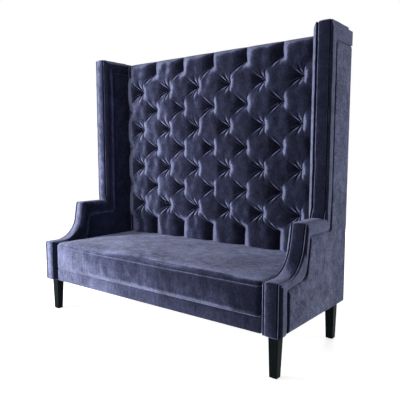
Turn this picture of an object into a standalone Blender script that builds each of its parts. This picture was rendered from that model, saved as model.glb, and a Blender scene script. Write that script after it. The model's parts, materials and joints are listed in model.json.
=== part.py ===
"""High-back wing settee.

A deep-tufted back and a fixed seat sit between two sides. Each side is an arm and a tall wing in one
outline, padded round its front and top edge by a swept border. Timber frame inside, four tapered legs.
X runs across the settee, Y from front to back, Z up. The origin is on the floor, under the middle.
"""

import math

import bmesh
import bpy

# Clearance between pieces that touch
FIT = 0.0003

# Overall form
BASE_HEIGHT = 0.2094
SIDE_HEIGHT = 1.718
DEPTH = 0.762
SPLAY = 0.008

# Side outline, measured back from the front of the arm post and up from the floor
STRIP_CROWN = 0.004
POST_HEIGHT = 0.4645
ARM_HEIGHT = 0.7105
ARM_FRONT = 0.260
ARM_LEAN_DEGREES = 10.0
COVE_RADIUS = 0.165
WING_FRONT = 0.467
POST_CORNER = 0.008
ARM_CORNER = 0.012
ARM_CREASE = 0.005
WING_CORNER = 0.008
CORNER_STEPS = 3
COVE_STEPS = 9

# Groove at the inner edge of the border, measured in from the outline
POST_BORDER = 0.086
POST_TOP_BORDER = 0.0465
POST_TOP_GROOVE_DEGREES = 6.8
ARM_FRONT_BORDER = 0.055
ARM_TOP_BORDER = 0.068
WING_FRONT_BORDER = 0.074
WING_TOP_BORDER = 0.084
COVE_GROOVE_RADIUS = 0.045
GROOVE_CORNER = 0.014

# Thickness of a side
INNER_FACE = 0.7865
SIDE_THICKNESS = 0.1065
PADDING = 0.020
EDGE_PADDING = 0.016
INNER_STEP = 0.002
OUTER_STEP = 0.004
PANEL_EDGE = 0.006
BORDER_EDGE = 0.005
INNER_SEAM = 0.0285
OUTER_SEAM = 0.0125
BORDER_TO_REAR = 0.075
CAP_DROP = 0.0045
EASED_SHARE = 0.3

# Section of the border, as shares of the way from the contour in to the groove
INNER_ROUND_SHARE = 0.1
INNER_BAND_SHARE = 0.33
OUTER_ROUND_SHARE = 0.08
OUTER_BAND_SHARE = 0.28
BAND_EDGE_SHARE = 0.94
SHARPEST_RADIUS_SHARE = 0.1
ROOM_SHARE = 0.9

# Seat
SEAT_RAIL_FACE = 0.0781
SEAT_THICKNESS = 0.1735
SEAT_CROWN = 0.013
SEAT_FRONT = 0.006
SEAT_CORNER_RADIUS = 0.016
SEAT_ROLL = 0.028
SEAT_BULGE = 0.009
SEAT_SIDE_CLEARANCE = 0.001
SEAT_SEAM_PINCH = 0.002
SEAT_RISE_RUN = 0.112
SEAT_CROWN_POWER = 4
SEAT_FACE_SHARES = ((0.0, 0.0), (0.06, 0.5), (0.42, 1.0), (0.94, 0.4))
SEAT_ROLL_RISE_SHARE = 0.65
SEAT_TOP_RINGS = 5
SEAT_TOP_REACH_SHARE = 0.93
SEAT_CORNER_STEPS = 4
SEAT_SPANS = 8
SEAT_BACK_EDGE = 0.006
SEAT_TO_BACK = 0.0008

# Tufted back
TUFT_COLUMNS = 6
TUFT_ROWS = 8
TUFT_SIDE_MARGIN = 0.0185
TOP_CHANNEL = 0.1095
TOP_ROW_RISE = 0.1015
BOTTOM_ROW_DROP = 0.105
FOOT_CHANNEL = 0.1204
TUFT_BACKING = 0.013
PUFF = 0.045
PLEAT_SHARE = 0.42
TOP_PLEAT_SHARE = 0.12
FOOT_PLEAT_SHARE = 0.12
FOOT_ROW_SHARES = (0.3, 0.75, 1.0)
TOP_ROW_SHARES = (0.3, 0.7)
BACK_DROP = 0.016
BACK_ROLL = 0.038
BACK_LIP = 0.010
BACK_CREST = 0.004
BACK_SIDE_CLEARANCE = 0.0008
BACK_SIDE_DEPTH_SHARE = 0.35
CELL_SHARES = (0.0, 0.13, 0.5, 0.87, 1.0)
ROLL_ANGLE_SHARES = (0.3, 0.62, 1.0)

# Frame timbers, boards and covers
BACK_BOARD = 0.012
BACK_RAIL_DEPTH = 0.0321
POST_DEPTH = 0.045
RAIL_THICKNESS = 0.028
BASE_RAIL_HEIGHT = 0.060
SEAT_RAIL_LIFT = 0.0046
BACK_RAIL_HEIGHT = 0.060
CROSS_RAIL_WIDTH = 0.045
CROSS_RAIL_DROP = 0.012
STUD_WIDTH = 0.060
BLOCK_LEG = 0.110
BLOCK_HEIGHT = 0.050
OUTSIDE_BACK = 0.013
RAIL_COVER_FRONT = 0.016
RAIL_COVER = 0.0137
WEBBING_WIDTH = 0.070
WEBBING_THICKNESS = 0.002
WEBBING_STRAPS = 5
DUST_COVER = 0.0012
TIMBER_EDGE = 0.002

# Legs
LEG_SIDE_INSET = 0.0526
LEG_TOP_WIDTH = 0.053
LEG_TOP_DEPTH = 0.050
LEG_FOOT_WIDTH = 0.042
LEG_FOOT_DEPTH = 0.036
LEG_SET_BACK = 0.0317
LEG_FACE_SLOPE = 0.004
LEG_REAR_INSET = 0.0475
LEG_EDGE = 0.0015
PLATE_SIZE = 0.046
PLATE_THICKNESS = 0.003
BOLT_RADIUS = 0.004
BOLT_LENGTH = 0.070
BOLT_IN_LEG = 0.035
BOLT_SIDES = 12
GLIDE_RADIUS = 0.012
GLIDE_HEIGHT = 0.003
GLIDE_SIDES = 20

# How far a cutter runs past the piece that it cuts
CUT_OVERRUN = 0.004

# Places that follow from the sizes
FRONT = STRIP_CROWN - DEPTH / 2
REAR = DEPTH / 2
OUTER_FACE = INNER_FACE + SIDE_THICKNESS
TIMBER_INNER = INNER_FACE + PADDING + FIT
TIMBER_OUTER = OUTER_FACE - PADDING - FIT
BORDER_END = REAR - BORDER_TO_REAR
REAR_POST_BACK = REAR - OUTSIDE_BACK - FIT
PAD_BACK = REAR_POST_BACK - BACK_RAIL_DEPTH - FIT - BACK_BOARD - FIT
TUFT_FACE = PAD_BACK - TUFT_BACKING
SEAT_SPLIT = BASE_HEIGHT + SEAT_RAIL_FACE
SEAT_HEIGHT = SEAT_SPLIT + SEAT_THICKNESS
RAIL_TOP = SEAT_SPLIT - FIT - WEBBING_THICKNESS - FIT
BACK_HEIGHT = SIDE_HEIGHT - BACK_DROP
TUFT_PITCH = 2 * (INNER_FACE - TUFT_SIDE_MARGIN) / TUFT_COLUMNS
TOP_ROW = BACK_HEIGHT - TOP_CHANNEL
FOOT_ROW = SEAT_HEIGHT + FOOT_CHANNEL
TUFT_ROW_PITCH = (TOP_ROW - TOP_ROW_RISE - FOOT_ROW - BOTTOM_ROW_DROP) / (TUFT_ROWS - 2)

VELVET = ("velvet", (0.075, 0.080, 0.150), 0.75, 0.0)
TIMBER = ("frame_timber", (0.45, 0.32, 0.19), 0.70, 0.0)
BOARD = ("plywood", (0.55, 0.42, 0.27), 0.70, 0.0)
LEG_WOOD = ("leg_wood", (0.012, 0.016, 0.018), 0.38, 0.0)
STEEL = ("zinc_steel", (0.55, 0.56, 0.58), 0.40, 1.0)
GLIDE_PLASTIC = ("glide_plastic", (0.02, 0.02, 0.02), 0.50, 0.0)
WEBBING_CLOTH = ("webbing", (0.30, 0.24, 0.15), 0.90, 0.0)
DUST_CLOTH = ("dust_cloth", (0.015, 0.015, 0.017), 0.95, 0.0)


def clear_scene():
    for obj in list(bpy.data.objects):
        bpy.data.objects.remove(obj, do_unlink=True)


def material(spec):
    name, colour, roughness, metallic = spec
    made = bpy.data.materials.get(name)
    if made:
        return made
    made = bpy.data.materials.new(name)
    made.use_nodes = True
    shader = made.node_tree.nodes["Principled BSDF"]
    shader.inputs["Base Color"].default_value = (*colour, 1.0)
    shader.inputs["Roughness"].default_value = roughness
    shader.inputs["Metallic"].default_value = metallic
    return made


def splayed(point):
    """Moves a point of the upholstered body outwards in step with its height, as the sides flare."""
    x, y, z = point
    rise = (z - BASE_HEIGHT) / (SIDE_HEIGHT - BASE_HEIGHT)
    return (x * (1 + SPLAY / OUTER_FACE * rise), y, z)


def add_mesh(name, bm, spec, smooth=True, splay=True):
    """Turns a bmesh into a named object with outward faces."""
    if splay:
        for vertex in bm.verts:
            vertex.co = splayed(vertex.co)
    bmesh.ops.recalc_face_normals(bm, faces=bm.faces)
    mesh = bpy.data.meshes.new(name)
    bm.to_mesh(mesh)
    bm.free()
    if smooth:
        mesh.shade_smooth()
        mesh.set_sharp_from_angle(angle=math.radians(35))
    mesh.materials.append(material(spec))
    obj = bpy.data.objects.new(name, mesh)
    bpy.context.scene.collection.objects.link(obj)
    return obj


def box_mesh(low, high, edge=0):
    """A block between two corners, with its edges eased where an edge is given."""
    bm = bmesh.new()
    corners = [
        bm.verts.new((x, y, z))
        for x in (low[0], high[0])
        for y in (low[1], high[1])
        for z in (low[2], high[2])
    ]
    for loop in (
        (0, 1, 3, 2),
        (4, 6, 7, 5),
        (0, 4, 5, 1),
        (2, 3, 7, 6),
        (0, 2, 6, 4),
        (1, 5, 7, 3),
    ):
        bm.faces.new([corners[i] for i in loop])
    if edge:
        bmesh.ops.bevel(bm, geom=list(bm.edges), offset=edge, segments=1, affect="EDGES")
    return bm


def box(name, low, high, spec, edge=TIMBER_EDGE, splay=True):
    bm = box_mesh(low, high, edge)
    return add_mesh(name, bm, spec, smooth=False, splay=splay)


def side_box(side, name, low, high, spec, **options):
    """A block on one side, given as it lies on the right."""
    x_values = sorted((side * low[0], side * high[0]))
    return box(
        f"{name}_{side_name(side)}",
        (x_values[0], *low[1:]),
        (x_values[1], *high[1:]),
        spec,
        **options,
    )


def side_name(side):
    return "left" if side < 0 else "right"


def cut(target, name, bm, splay=False):
    """Takes a cutter's space out of an object."""
    cutter = add_mesh(name, bm, TIMBER, smooth=False, splay=splay)
    cutter.hide_render = True
    cutter.display_type = "WIRE"
    boolean = target.modifiers.new(name, "BOOLEAN")
    boolean.operation = "DIFFERENCE"
    boolean.solver = "EXACT"
    boolean.object = cutter


def loft(bm, rings, closed_ring, cap=True):
    """Joins rings of equal length by quads. A closed ring wraps round, and caps close both ends."""
    made = [[bm.verts.new(point) for point in ring] for ring in rings]
    count = len(made[0])
    steps = count if closed_ring else count - 1
    for first, second in zip(made, made[1:]):
        for i in range(steps):
            j = (i + 1) % count
            bm.faces.new((first[i], first[j], second[j], second[i]))
    if cap:
        bm.faces.new(list(reversed(made[0])))
        bm.faces.new(made[-1])
    return made


# Side outline


def crossing(first, second):
    """Where two lines meet. A line is a point and a direction in the plane of the side."""
    (y0, z0), (dy0, dz0) = first
    (y1, z1), (dy1, dz1) = second
    turn = dy0 * dz1 - dz0 * dy1
    along = ((y1 - y0) * dz1 - (z1 - z0) * dy1) / turn
    return (y0 + along * dy0, z0 + along * dz0)


def fillet(before, corner, after, radius, steps):
    """Points of an arc that rounds a corner, no wider than its neighbours leave room for."""
    into = (corner[0] - before[0], corner[1] - before[1])
    out = (after[0] - corner[0], after[1] - corner[1])
    heading_in = math.atan2(into[1], into[0])
    heading_out = math.atan2(out[1], out[0])
    turn = (heading_out - heading_in + math.pi) % (2 * math.pi) - math.pi
    room = min(math.hypot(*into), math.hypot(*out))
    radius = min(radius, room * ROOM_SHARE / math.tan(abs(turn) / 2))
    reach = radius * math.tan(abs(turn) / 2)
    start = (
        corner[0] - reach * math.cos(heading_in),
        corner[1] - reach * math.sin(heading_in),
    )
    bend = math.copysign(1, turn)
    centre = (
        start[0] - bend * radius * math.sin(heading_in),
        start[1] + bend * radius * math.cos(heading_in),
    )
    points = []
    for step in range(steps + 1):
        heading = heading_in + turn * step / steps
        points.append(
            (
                centre[0] + bend * radius * math.sin(heading),
                centre[1] - bend * radius * math.cos(heading),
            )
        )
    return points


# Each outline is six lines, in order up the post, back over it, up the arm, back over it, up the wing
# and back over that, with a radius where each line meets the next
CONTOUR_RADII = (POST_CORNER, COVE_RADIUS, ARM_CORNER, ARM_CREASE, WING_CORNER)
GROOVE_RADII = (GROOVE_CORNER, COVE_GROOVE_RADIUS, GROOVE_CORNER, GROOVE_CORNER, GROOVE_CORNER)
GROOVE_INSETS = (
    POST_BORDER,
    POST_TOP_BORDER,
    ARM_FRONT_BORDER,
    ARM_TOP_BORDER,
    WING_FRONT_BORDER,
    WING_TOP_BORDER,
)
HOLLOW_CORNERS = (False, True, False, True, False)
CORNER_COUNTS = (CORNER_STEPS, COVE_STEPS, CORNER_STEPS, CORNER_STEPS, CORNER_STEPS)


def outline(insets, radii, groove_share, low, end):
    """Points along the front and top of a side, each line moved in by its own inset."""
    post, post_top, arm_front, arm_top, wing_front, wing_top = insets
    slant = math.radians(POST_TOP_GROOVE_DEGREES) * groove_share
    lean = math.radians(ARM_LEAN_DEGREES)
    up = (0, 1)
    back = (1, 0)
    arm_y = FRONT + ARM_FRONT + arm_front * math.cos(lean)
    arm_z = ARM_HEIGHT - arm_front * math.sin(lean)
    lines = [
        ((FRONT + post, low), up),
        ((FRONT + post, POST_HEIGHT - post_top), (math.cos(slant), math.sin(slant))),
        ((arm_y, arm_z), (math.sin(lean), math.cos(lean))),
        ((FRONT, ARM_HEIGHT - arm_top), back),
        ((FRONT + WING_FRONT + wing_front, low), up),
        ((FRONT, SIDE_HEIGHT - wing_top), back),
    ]
    corners = [crossing(first, second) for first, second in zip(lines, lines[1:])]
    stations = [(FRONT + post, low), *corners, (end, SIDE_HEIGHT - wing_top)]
    points = [stations[0]]
    for i, (radius, steps) in enumerate(zip(radii, CORNER_COUNTS)):
        points += fillet(stations[i], stations[i + 1], stations[i + 2], radius, steps)
    points.append(stations[-1])
    return points


def graded(share, low, end):
    """An outline between the contour of a side, share 0, and the groove of its border, share 1."""
    insets = [share * inset for inset in GROOVE_INSETS]
    radii = [
        outer + (inner - outer) * share
        for outer, inner in zip(CONTOUR_RADII, GROOVE_RADII)
    ]
    return outline(insets, radii, share, low, end)


def parallel(inset, low, end):
    """An outline at an even distance inside the contour, or outside it where the inset is negative."""
    radii = []
    for radius, hollow in zip(CONTOUR_RADII, HOLLOW_CORNERS):
        moved = radius + inset if hollow else radius - inset
        radii.append(max(moved, radius * SHARPEST_RADIUS_SHARE))
    return outline([inset] * len(GROOVE_INSETS), radii, 0, low, end)


def within_groove(inset, low, end):
    """An outline at an even distance inside the groove of the border."""
    insets = [groove + inset for groove in GROOVE_INSETS]
    radii = [
        radius + inset if hollow else radius - inset
        for radius, hollow in zip(GROOVE_RADII, HOLLOW_CORNERS)
    ]
    return outline(insets, radii, 1, low, end)


def on_side(side, x, path):
    return [(side * x, y, z) for y, z in path]


# Upholstered pieces of a side


def border(side):
    """The padded strip that wraps the front and top edge of a side, with a band on each face."""
    end = BORDER_END
    low = BASE_HEIGHT
    middle = (INNER_FACE + INNER_SEAM + OUTER_FACE - OUTER_SEAM) / 2
    inner_band = INNER_FACE + PADDING
    outer_band = OUTER_FACE - PADDING
    section = [
        (inner_band, graded(1, low, end)),
        (INNER_FACE + BORDER_EDGE, graded(1, low, end)),
        (INNER_FACE, graded(BAND_EDGE_SHARE, low, end)),
        (INNER_FACE, graded(INNER_BAND_SHARE, low, end)),
        (INNER_FACE + INNER_SEAM * EASED_SHARE, graded(INNER_ROUND_SHARE, low, end)),
        (INNER_FACE + INNER_SEAM, graded(0, low, end)),
        (middle, parallel(-STRIP_CROWN, low, end)),
        (OUTER_FACE - OUTER_SEAM, graded(0, low, end)),
        (OUTER_FACE - OUTER_SEAM * EASED_SHARE, graded(OUTER_ROUND_SHARE, low, end)),
        (OUTER_FACE, graded(OUTER_BAND_SHARE, low, end)),
        (OUTER_FACE, graded(BAND_EDGE_SHARE, low, end)),
        (OUTER_FACE - BORDER_EDGE, graded(1, low, end)),
        (outer_band, graded(1, low, end)),
        (outer_band, parallel(EDGE_PADDING, low, end)),
        (inner_band, parallel(EDGE_PADDING, low, end)),
    ]
    lines = [on_side(side, x, path) for x, path in section]
    bm = bmesh.new()
    loft(bm, [list(ring) for ring in zip(*lines)], closed_ring=True)
    return add_mesh(f"border_{side_name(side)}", bm, VELVET)


def panel(side, name, hidden_x, face_x, low, end):
    """A padded panel that fills a side inside its border, with a rounded edge on the face that shows."""
    inward = math.copysign(PANEL_EDGE, hidden_x - face_x)
    levels = [
        (hidden_x, FIT),
        (face_x + inward, FIT),
        (face_x + inward * EASED_SHARE, FIT + PANEL_EDGE * EASED_SHARE),
        (face_x, FIT + PANEL_EDGE),
    ]
    rings = []
    for x, inset in levels:
        path = within_groove(inset, low, end) + [(end, low)]
        rings.append(on_side(side, x, path))
    bm = bmesh.new()
    loft(bm, rings, closed_ring=True)
    return add_mesh(f"{name}_{side_name(side)}", bm, VELVET)


def side_panels(side):
    inner_low = SEAT_SPLIT + FIT
    inner_end = PAD_BACK - FIT
    panel(
        side,
        "inner_panel",
        INNER_FACE + PADDING,
        INNER_FACE + INNER_STEP,
        inner_low,
        inner_end,
    )
    panel(
        side,
        "outer_panel",
        OUTER_FACE - PADDING,
        OUTER_FACE - OUTER_STEP,
        BASE_HEIGHT,
        REAR,
    )


def wing_cap(side):
    """The padded cap behind the border's end, over the top of the rear post."""
    start = BORDER_END + FIT
    low = SIDE_HEIGHT - WING_TOP_BORDER + FIT
    cap = side_box(
        side,
        "wing_cap",
        (INNER_FACE + INNER_STEP, start, low),
        (OUTER_FACE - OUTER_STEP, REAR, SIDE_HEIGHT - CAP_DROP),
        VELVET,
        edge=BORDER_EDGE,
    )
    cavity_top = SIDE_HEIGHT - EDGE_PADDING
    inner = side * (INNER_FACE + PADDING)
    outer = side * (OUTER_FACE - PADDING)
    below = low - CUT_OVERRUN
    timber_space = box_mesh(
        (min(inner, outer), start - CUT_OVERRUN, below),
        (max(inner, outer), REAR + CUT_OVERRUN, cavity_top),
    )
    cut(cap, f"cap_timber_space_{side_name(side)}", timber_space, splay=True)
    past = side * (INNER_FACE - CUT_OVERRUN)
    back_space = box_mesh(
        (min(past, outer), PAD_BACK, below),
        (max(past, outer), REAR + CUT_OVERRUN, cavity_top),
    )
    cut(cap, f"cap_back_space_{side_name(side)}", back_space, splay=True)


# Seat


def rounded_rectangle(half_width, front, back):
    """A ring round a rectangle with rounded corners, with extra points along its long edges."""
    radius = SEAT_CORNER_RADIUS
    corners = [
        (half_width - radius, back - radius, 0),
        (-half_width + radius, back - radius, 90),
        (-half_width + radius, front + radius, 180),
        (half_width - radius, front + radius, 270),
    ]
    ring = []
    for number, (x, y, start) in enumerate(corners):
        for step in range(SEAT_CORNER_STEPS + 1):
            angle = math.radians(start + 90 * step / SEAT_CORNER_STEPS)
            ring.append((x + radius * math.cos(angle), y + radius * math.sin(angle)))
        if number in (0, 2):
            edge_y = ring[-1][1]
            for span in range(1, SEAT_SPANS):
                ring.append((x - 2 * x * span / SEAT_SPANS, edge_y))
    return ring


def seat_top(x, y):
    """Height of the seat's crowned top, which keeps its height under the back."""
    half = INNER_FACE - SEAT_SIDE_CLEARANCE
    across = 1 - min(abs(x) / half, 1) ** SEAT_CROWN_POWER
    from_front = (y - FRONT - SEAT_FRONT) / SEAT_RISE_RUN
    along = math.sin(math.pi / 2 * min(max(from_front, 0), 1))
    return SEAT_HEIGHT + SEAT_CROWN * across * along


def seat_cushion():
    """A box cushion with a crowned top, a rolled front edge and sides drawn in at the seam."""
    half = INNER_FACE - SEAT_SIDE_CLEARANCE
    front = FRONT + SEAT_FRONT
    back = PAD_BACK - FIT
    seam = SEAT_HEIGHT - SEAT_ROLL
    levels = []
    for height_share, bulge_share in SEAT_FACE_SHARES:
        z = SEAT_SPLIT + (seam - SEAT_SPLIT) * height_share
        inset = 0 if height_share else PANEL_EDGE
        levels.append((z, inset, SEAT_BULGE * bulge_share))
    levels.append((seam, SEAT_SEAM_PINCH, 0))
    levels.append((seam + PANEL_EDGE, 0, 0))
    levels.append((seam + SEAT_ROLL * SEAT_ROLL_RISE_SHARE, SEAT_ROLL * EASED_SHARE, 0))
    rings = []
    for z, inset, bulge in levels:
        back_inset = min(inset, SEAT_BACK_EDGE)
        ring = rounded_rectangle(half - inset, front + inset - bulge, back - back_inset)
        rings.append([(x, y, z) for x, y in ring])
    deepest = (back - front - SEAT_ROLL) / 2 - SEAT_CORNER_RADIUS
    for step in range(SEAT_TOP_RINGS):
        reach = deepest * SEAT_TOP_REACH_SHARE * step / (SEAT_TOP_RINGS - 1)
        ring = rounded_rectangle(
            half - SEAT_ROLL - reach,
            front + SEAT_ROLL + reach,
            back - SEAT_BACK_EDGE - reach,
        )
        rings.append([(x, y, seat_top(x, y)) for x, y in ring])
    bm = bmesh.new()
    loft(bm, rings, closed_ring=True)
    return add_mesh("seat_cushion", bm, VELVET)


# Tufted back


def row_height(row):
    """Height of a tuft row, which may be a fraction. Row 0 is the top one."""
    if row < 1:
        return TOP_ROW - TOP_ROW_RISE * row
    if row > TUFT_ROWS - 1:
        return FOOT_ROW + BOTTOM_ROW_DROP * (TUFT_ROWS - row)
    return TOP_ROW - TOP_ROW_RISE - TUFT_ROW_PITCH * (row - 1)


def arch(share):
    """Rises from 0 at either end of a cell to 1 in its middle, steeply at first."""
    return math.sqrt(max(math.sin(math.pi * share), 0.0))


def puff_height(across, along):
    """How far a diamond stands out, from 0 at its tufts to 1 in its middle."""
    pleat = PLEAT_SHARE * max(arch(across), arch(along))
    return pleat + (1 - pleat) * arch(across) * arch(along)


class BackPad:
    """Collects the faces of the tufted front, with points shared between neighbouring cells."""

    def __init__(self):
        self.bm = bmesh.new()
        self.found = {}
        self.half = TUFT_COLUMNS / 2

    def vertex(self, x, y, z):
        key = (round(x, 6), round(y, 6), round(z, 6))
        if key not in self.found:
            self.found[key] = self.bm.verts.new((x, y, z))
        return self.found[key]

    def face(self, points):
        made = []
        for point in points:
            vertex = self.vertex(*point)
            if vertex not in made:
                made.append(vertex)
        if len(made) > 2:
            self.bm.faces.new(made)

    def front_point(self, column, row, height):
        return (
            column * TUFT_PITCH,
            TUFT_FACE - PUFF * height,
            row_height(row),
        )

    def diamond(self, a0, b0):
        """One diamond between four tufts, cut off at the outer columns and rows."""

        def corner(i, j):
            s, t = CELL_SHARES[i], CELL_SHARES[j]
            a, b = a0 + s, b0 + t
            return ((a + b) / 2, a - b, puff_height(s, t))

        def inside(points):
            column = sum(point[0] for point in points) / len(points)
            row = sum(point[1] for point in points) / len(points)
            return abs(column) < self.half and 0 < row < TUFT_ROWS

        steps = len(CELL_SHARES) - 1
        for i in range(steps):
            for j in range(steps):
                quad = [corner(i, j), corner(i + 1, j), corner(i + 1, j + 1), corner(i, j + 1)]
                if i == j:
                    parts = [[quad[0], quad[1], quad[2]], [quad[0], quad[2], quad[3]]]
                elif i + j == steps - 1:
                    parts = [[quad[0], quad[1], quad[3]], [quad[1], quad[2], quad[3]]]
                else:
                    parts = [quad]
                for part in parts:
                    if inside(part):
                        self.face([self.front_point(*point) for point in part])

    def column_positions(self):
        """Where the columns of points stand, from one outer tuft column to the other."""
        positions = []
        for cell in range(TUFT_COLUMNS):
            for share in CELL_SHARES[:-1]:
                positions.append((cell - self.half + share, share))
        positions.append((self.half, 0.0))
        return positions

    def strip(self, rows):
        """Joins rows of points that have the same number of points."""
        for upper, lower in zip(rows, rows[1:]):
            for i in range(len(upper) - 1):
                self.face([upper[i], upper[i + 1], lower[i + 1], lower[i]])

    def channel_row(self, z, pleat):
        """A level row across the upright channels, with the pleats between them partly filled."""
        row = []
        for column, share in self.column_positions():
            height = pleat + (1 - pleat) * arch(share) ** 2
            row.append((column * TUFT_PITCH, TUFT_FACE - PUFF * height, z))
        return row


def back_pad():
    """The deep-tufted pad: diamonds between the tufts, and upright channels above and below them."""
    pad = BackPad()
    reach = TUFT_COLUMNS + TUFT_ROWS
    for a0 in range(-reach, reach):
        for b0 in range(-reach, reach):
            if -1 < a0 - b0 < TUFT_ROWS + 1:
                pad.diamond(a0, b0)
    lip = BACK_HEIGHT - BACK_LIP
    pad.strip(top_channels(pad, lip))
    pad.strip(bottom_channels(pad))
    return close_pad(pad.bm)


def top_channels(pad, lip):
    """Rows up the channels, over the roll at the top of the back and down behind its lip."""
    start = row_height(0)
    roll_start = BACK_HEIGHT - BACK_ROLL
    rows = [pad.channel_row(start, 0)]
    for share in TOP_ROW_SHARES:
        rows.append(pad.channel_row(start + (roll_start - start) * share, TOP_PLEAT_SHARE))
    rows.append(pad.channel_row(roll_start, TOP_PLEAT_SHARE))
    crest = TUFT_FACE + BACK_CREST
    front_row = rows[-1]
    for share in ROLL_ANGLE_SHARES:
        angle = math.radians(90 * share)
        z = roll_start + BACK_ROLL * math.sin(angle)
        rows.append([(x, crest + (y - crest) * math.cos(angle), z) for x, y, _ in front_row])
    for y, z in (
        (REAR_POST_BACK, BACK_HEIGHT),
        (REAR_POST_BACK, lip),
        (PAD_BACK, lip),
    ):
        rows.append([(point[0], y, z) for point in front_row])
    return rows


def bottom_channels(pad):
    """Rows down the channels to the foot of the pad, which stands on the crowned seat."""
    start = row_height(TUFT_ROWS)
    rows = [pad.channel_row(start, 0)]
    for share in FOOT_ROW_SHARES:
        row = []
        for x, y, _ in pad.channel_row(start, FOOT_PLEAT_SHARE):
            foot = seat_top(x, PAD_BACK) + SEAT_TO_BACK
            row.append((x, y, start + (foot - start) * share))
        rows.append(row)
    rows.append([(x, PAD_BACK, z) for x, _, z in rows[-1]])
    return rows


def close_pad(bm):
    """Rolls the pad's sides back against the wings, then closes its sides and its back."""
    column = TUFT_PITCH * TUFT_COLUMNS / 2
    half = INNER_FACE - BACK_SIDE_CLEARANCE
    side_depth = TUFT_FACE - PUFF * BACK_SIDE_DEPTH_SHARE

    def open_along(reach):
        """Open edges of the mesh at a distance from its middle."""
        return [
            edge
            for edge in bm.edges
            if len(edge.link_faces) == 1
            and all(math.isclose(abs(v.co.x), reach, abs_tol=FIT / 10) for v in edge.verts)
        ]

    grown = bmesh.ops.extrude_edge_only(bm, edges=open_along(column))
    for item in grown["geom"]:
        if isinstance(item, bmesh.types.BMVert):
            item.co.x = math.copysign(half, item.co.x)
            item.co.y = max(item.co.y, side_depth)
    for sign in (-1, 1):
        edges = [edge for edge in open_along(half) if edge.verts[0].co.x * sign > 0]
        ends = {
            vertex
            for edge in edges
            for vertex in edge.verts
            if sum(other in edges for other in vertex.link_edges) == 1
        }
        upright = bm.edges.new(tuple(ends))
        bmesh.ops.contextual_create(bm, geom=edges + [upright])
    rear = [edge for edge in bm.edges if len(edge.link_faces) == 1]
    bmesh.ops.contextual_create(bm, geom=rear)
    return add_mesh("back_pad", bm, VELVET)


# Frame


def side_timbers(side):
    """Rails and posts inside one side, all of the same thickness."""
    edge = EDGE_PADDING + FIT
    low = BASE_HEIGHT + PLATE_THICKNESS + FIT
    rail_top = low + BASE_RAIL_HEIGHT
    front = FRONT + edge
    back = REAR_POST_BACK
    top = SIDE_HEIGHT - edge
    arm_top = ARM_HEIGHT - edge
    wing = FRONT + WING_FRONT + edge
    arm = FRONT + ARM_FRONT + edge
    stand = rail_top + FIT
    rail_low = arm_top - POST_DEPTH
    head_low = top - POST_DEPTH

    def timber(name, y0, z0, y1, z1):
        low_corner = (TIMBER_INNER, y0, z0)
        high_corner = (TIMBER_OUTER, y1, z1)
        return side_box(side, name, low_corner, high_corner, TIMBER)

    base = timber("base_rail", front, low, back, rail_top)
    timber("front_post", front, stand, front + POST_DEPTH, POST_HEIGHT - edge)
    timber("arm_post", arm, stand, arm + POST_DEPTH, rail_low - FIT)
    timber("arm_rail", arm, rail_low, wing - FIT, arm_top)
    timber("wing_post", wing, stand, wing + POST_DEPTH, head_low - FIT)
    timber("rear_post", back - POST_DEPTH, stand, back, head_low - FIT)
    timber("wing_rail", wing, head_low, back, top)
    return base


def seat_frame():
    """Front, rear and cross rails between the sides, corner blocks, webbing and the dust cover."""
    low = BASE_HEIGHT + SEAT_RAIL_LIFT
    front = FRONT + RAIL_COVER_FRONT + RAIL_COVER + FIT
    rail_back = front + RAIL_THICKNESS
    rear = REAR_POST_BACK - RAIL_THICKNESS
    short = INNER_FACE - FIT
    long = TIMBER_INNER - FIT
    box("front_seat_rail", (-short, front, low), (short, rail_back, RAIL_TOP), TIMBER)
    box("rear_seat_rail", (-long, rear, low), (long, REAR_POST_BACK, RAIL_TOP), TIMBER)
    half = CROSS_RAIL_WIDTH / 2
    box(
        "cross_rail",
        (-half, rail_back + FIT, low),
        (half, rear - FIT, RAIL_TOP - CROSS_RAIL_DROP),
        TIMBER,
    )
    for side in (-1, 1):
        corner_block(side, "front", rail_back + FIT, 1, low)
        corner_block(side, "rear", rear - FIT, -1, low)
    webbing(front, REAR_POST_BACK)
    dust_cover(front, short, long, low - FIT)


def dust_cover(front, short, long, high):
    """Thin cloth under the seat frame, cut back round the two front posts."""
    clear = FRONT + POST_BORDER + FIT
    right = [(short, front), (short, clear), (long, clear), (long, REAR_POST_BACK)]
    outline = right + [(-x, y) for x, y in reversed(right)]
    bm = bmesh.new()
    rings = [[(x, y, z) for x, y in outline] for z in (high - DUST_COVER, high)]
    loft(bm, rings, closed_ring=True)
    add_mesh("dust_cover", bm, DUST_CLOTH, smooth=False)


def corner_block(side, place, start, direction, low):
    """A block that ties a seat rail to a side's base rail, across the corner."""
    clear = FRONT + POST_BORDER + FIT
    reach = TIMBER_INNER - FIT
    inner = INNER_FACE - FIT
    far = start + direction * BLOCK_LEG
    slant = reach - BLOCK_LEG
    if direction > 0:
        outline = [
            (slant, start),
            (inner, start),
            (inner, clear),
            (reach, clear),
            (reach, far),
            (reach - RAIL_THICKNESS, far),
        ]
    else:
        outline = [
            (slant, start),
            (reach, start),
            (reach, far),
            (reach - RAIL_THICKNESS, far),
        ]
    bm = bmesh.new()
    rings = [[(side * x, y, z) for x, y in outline] for z in (low, low + BLOCK_HEIGHT)]
    loft(bm, rings, closed_ring=True)
    add_mesh(f"{place}_block_{side_name(side)}", bm, TIMBER, smooth=False)


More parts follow.
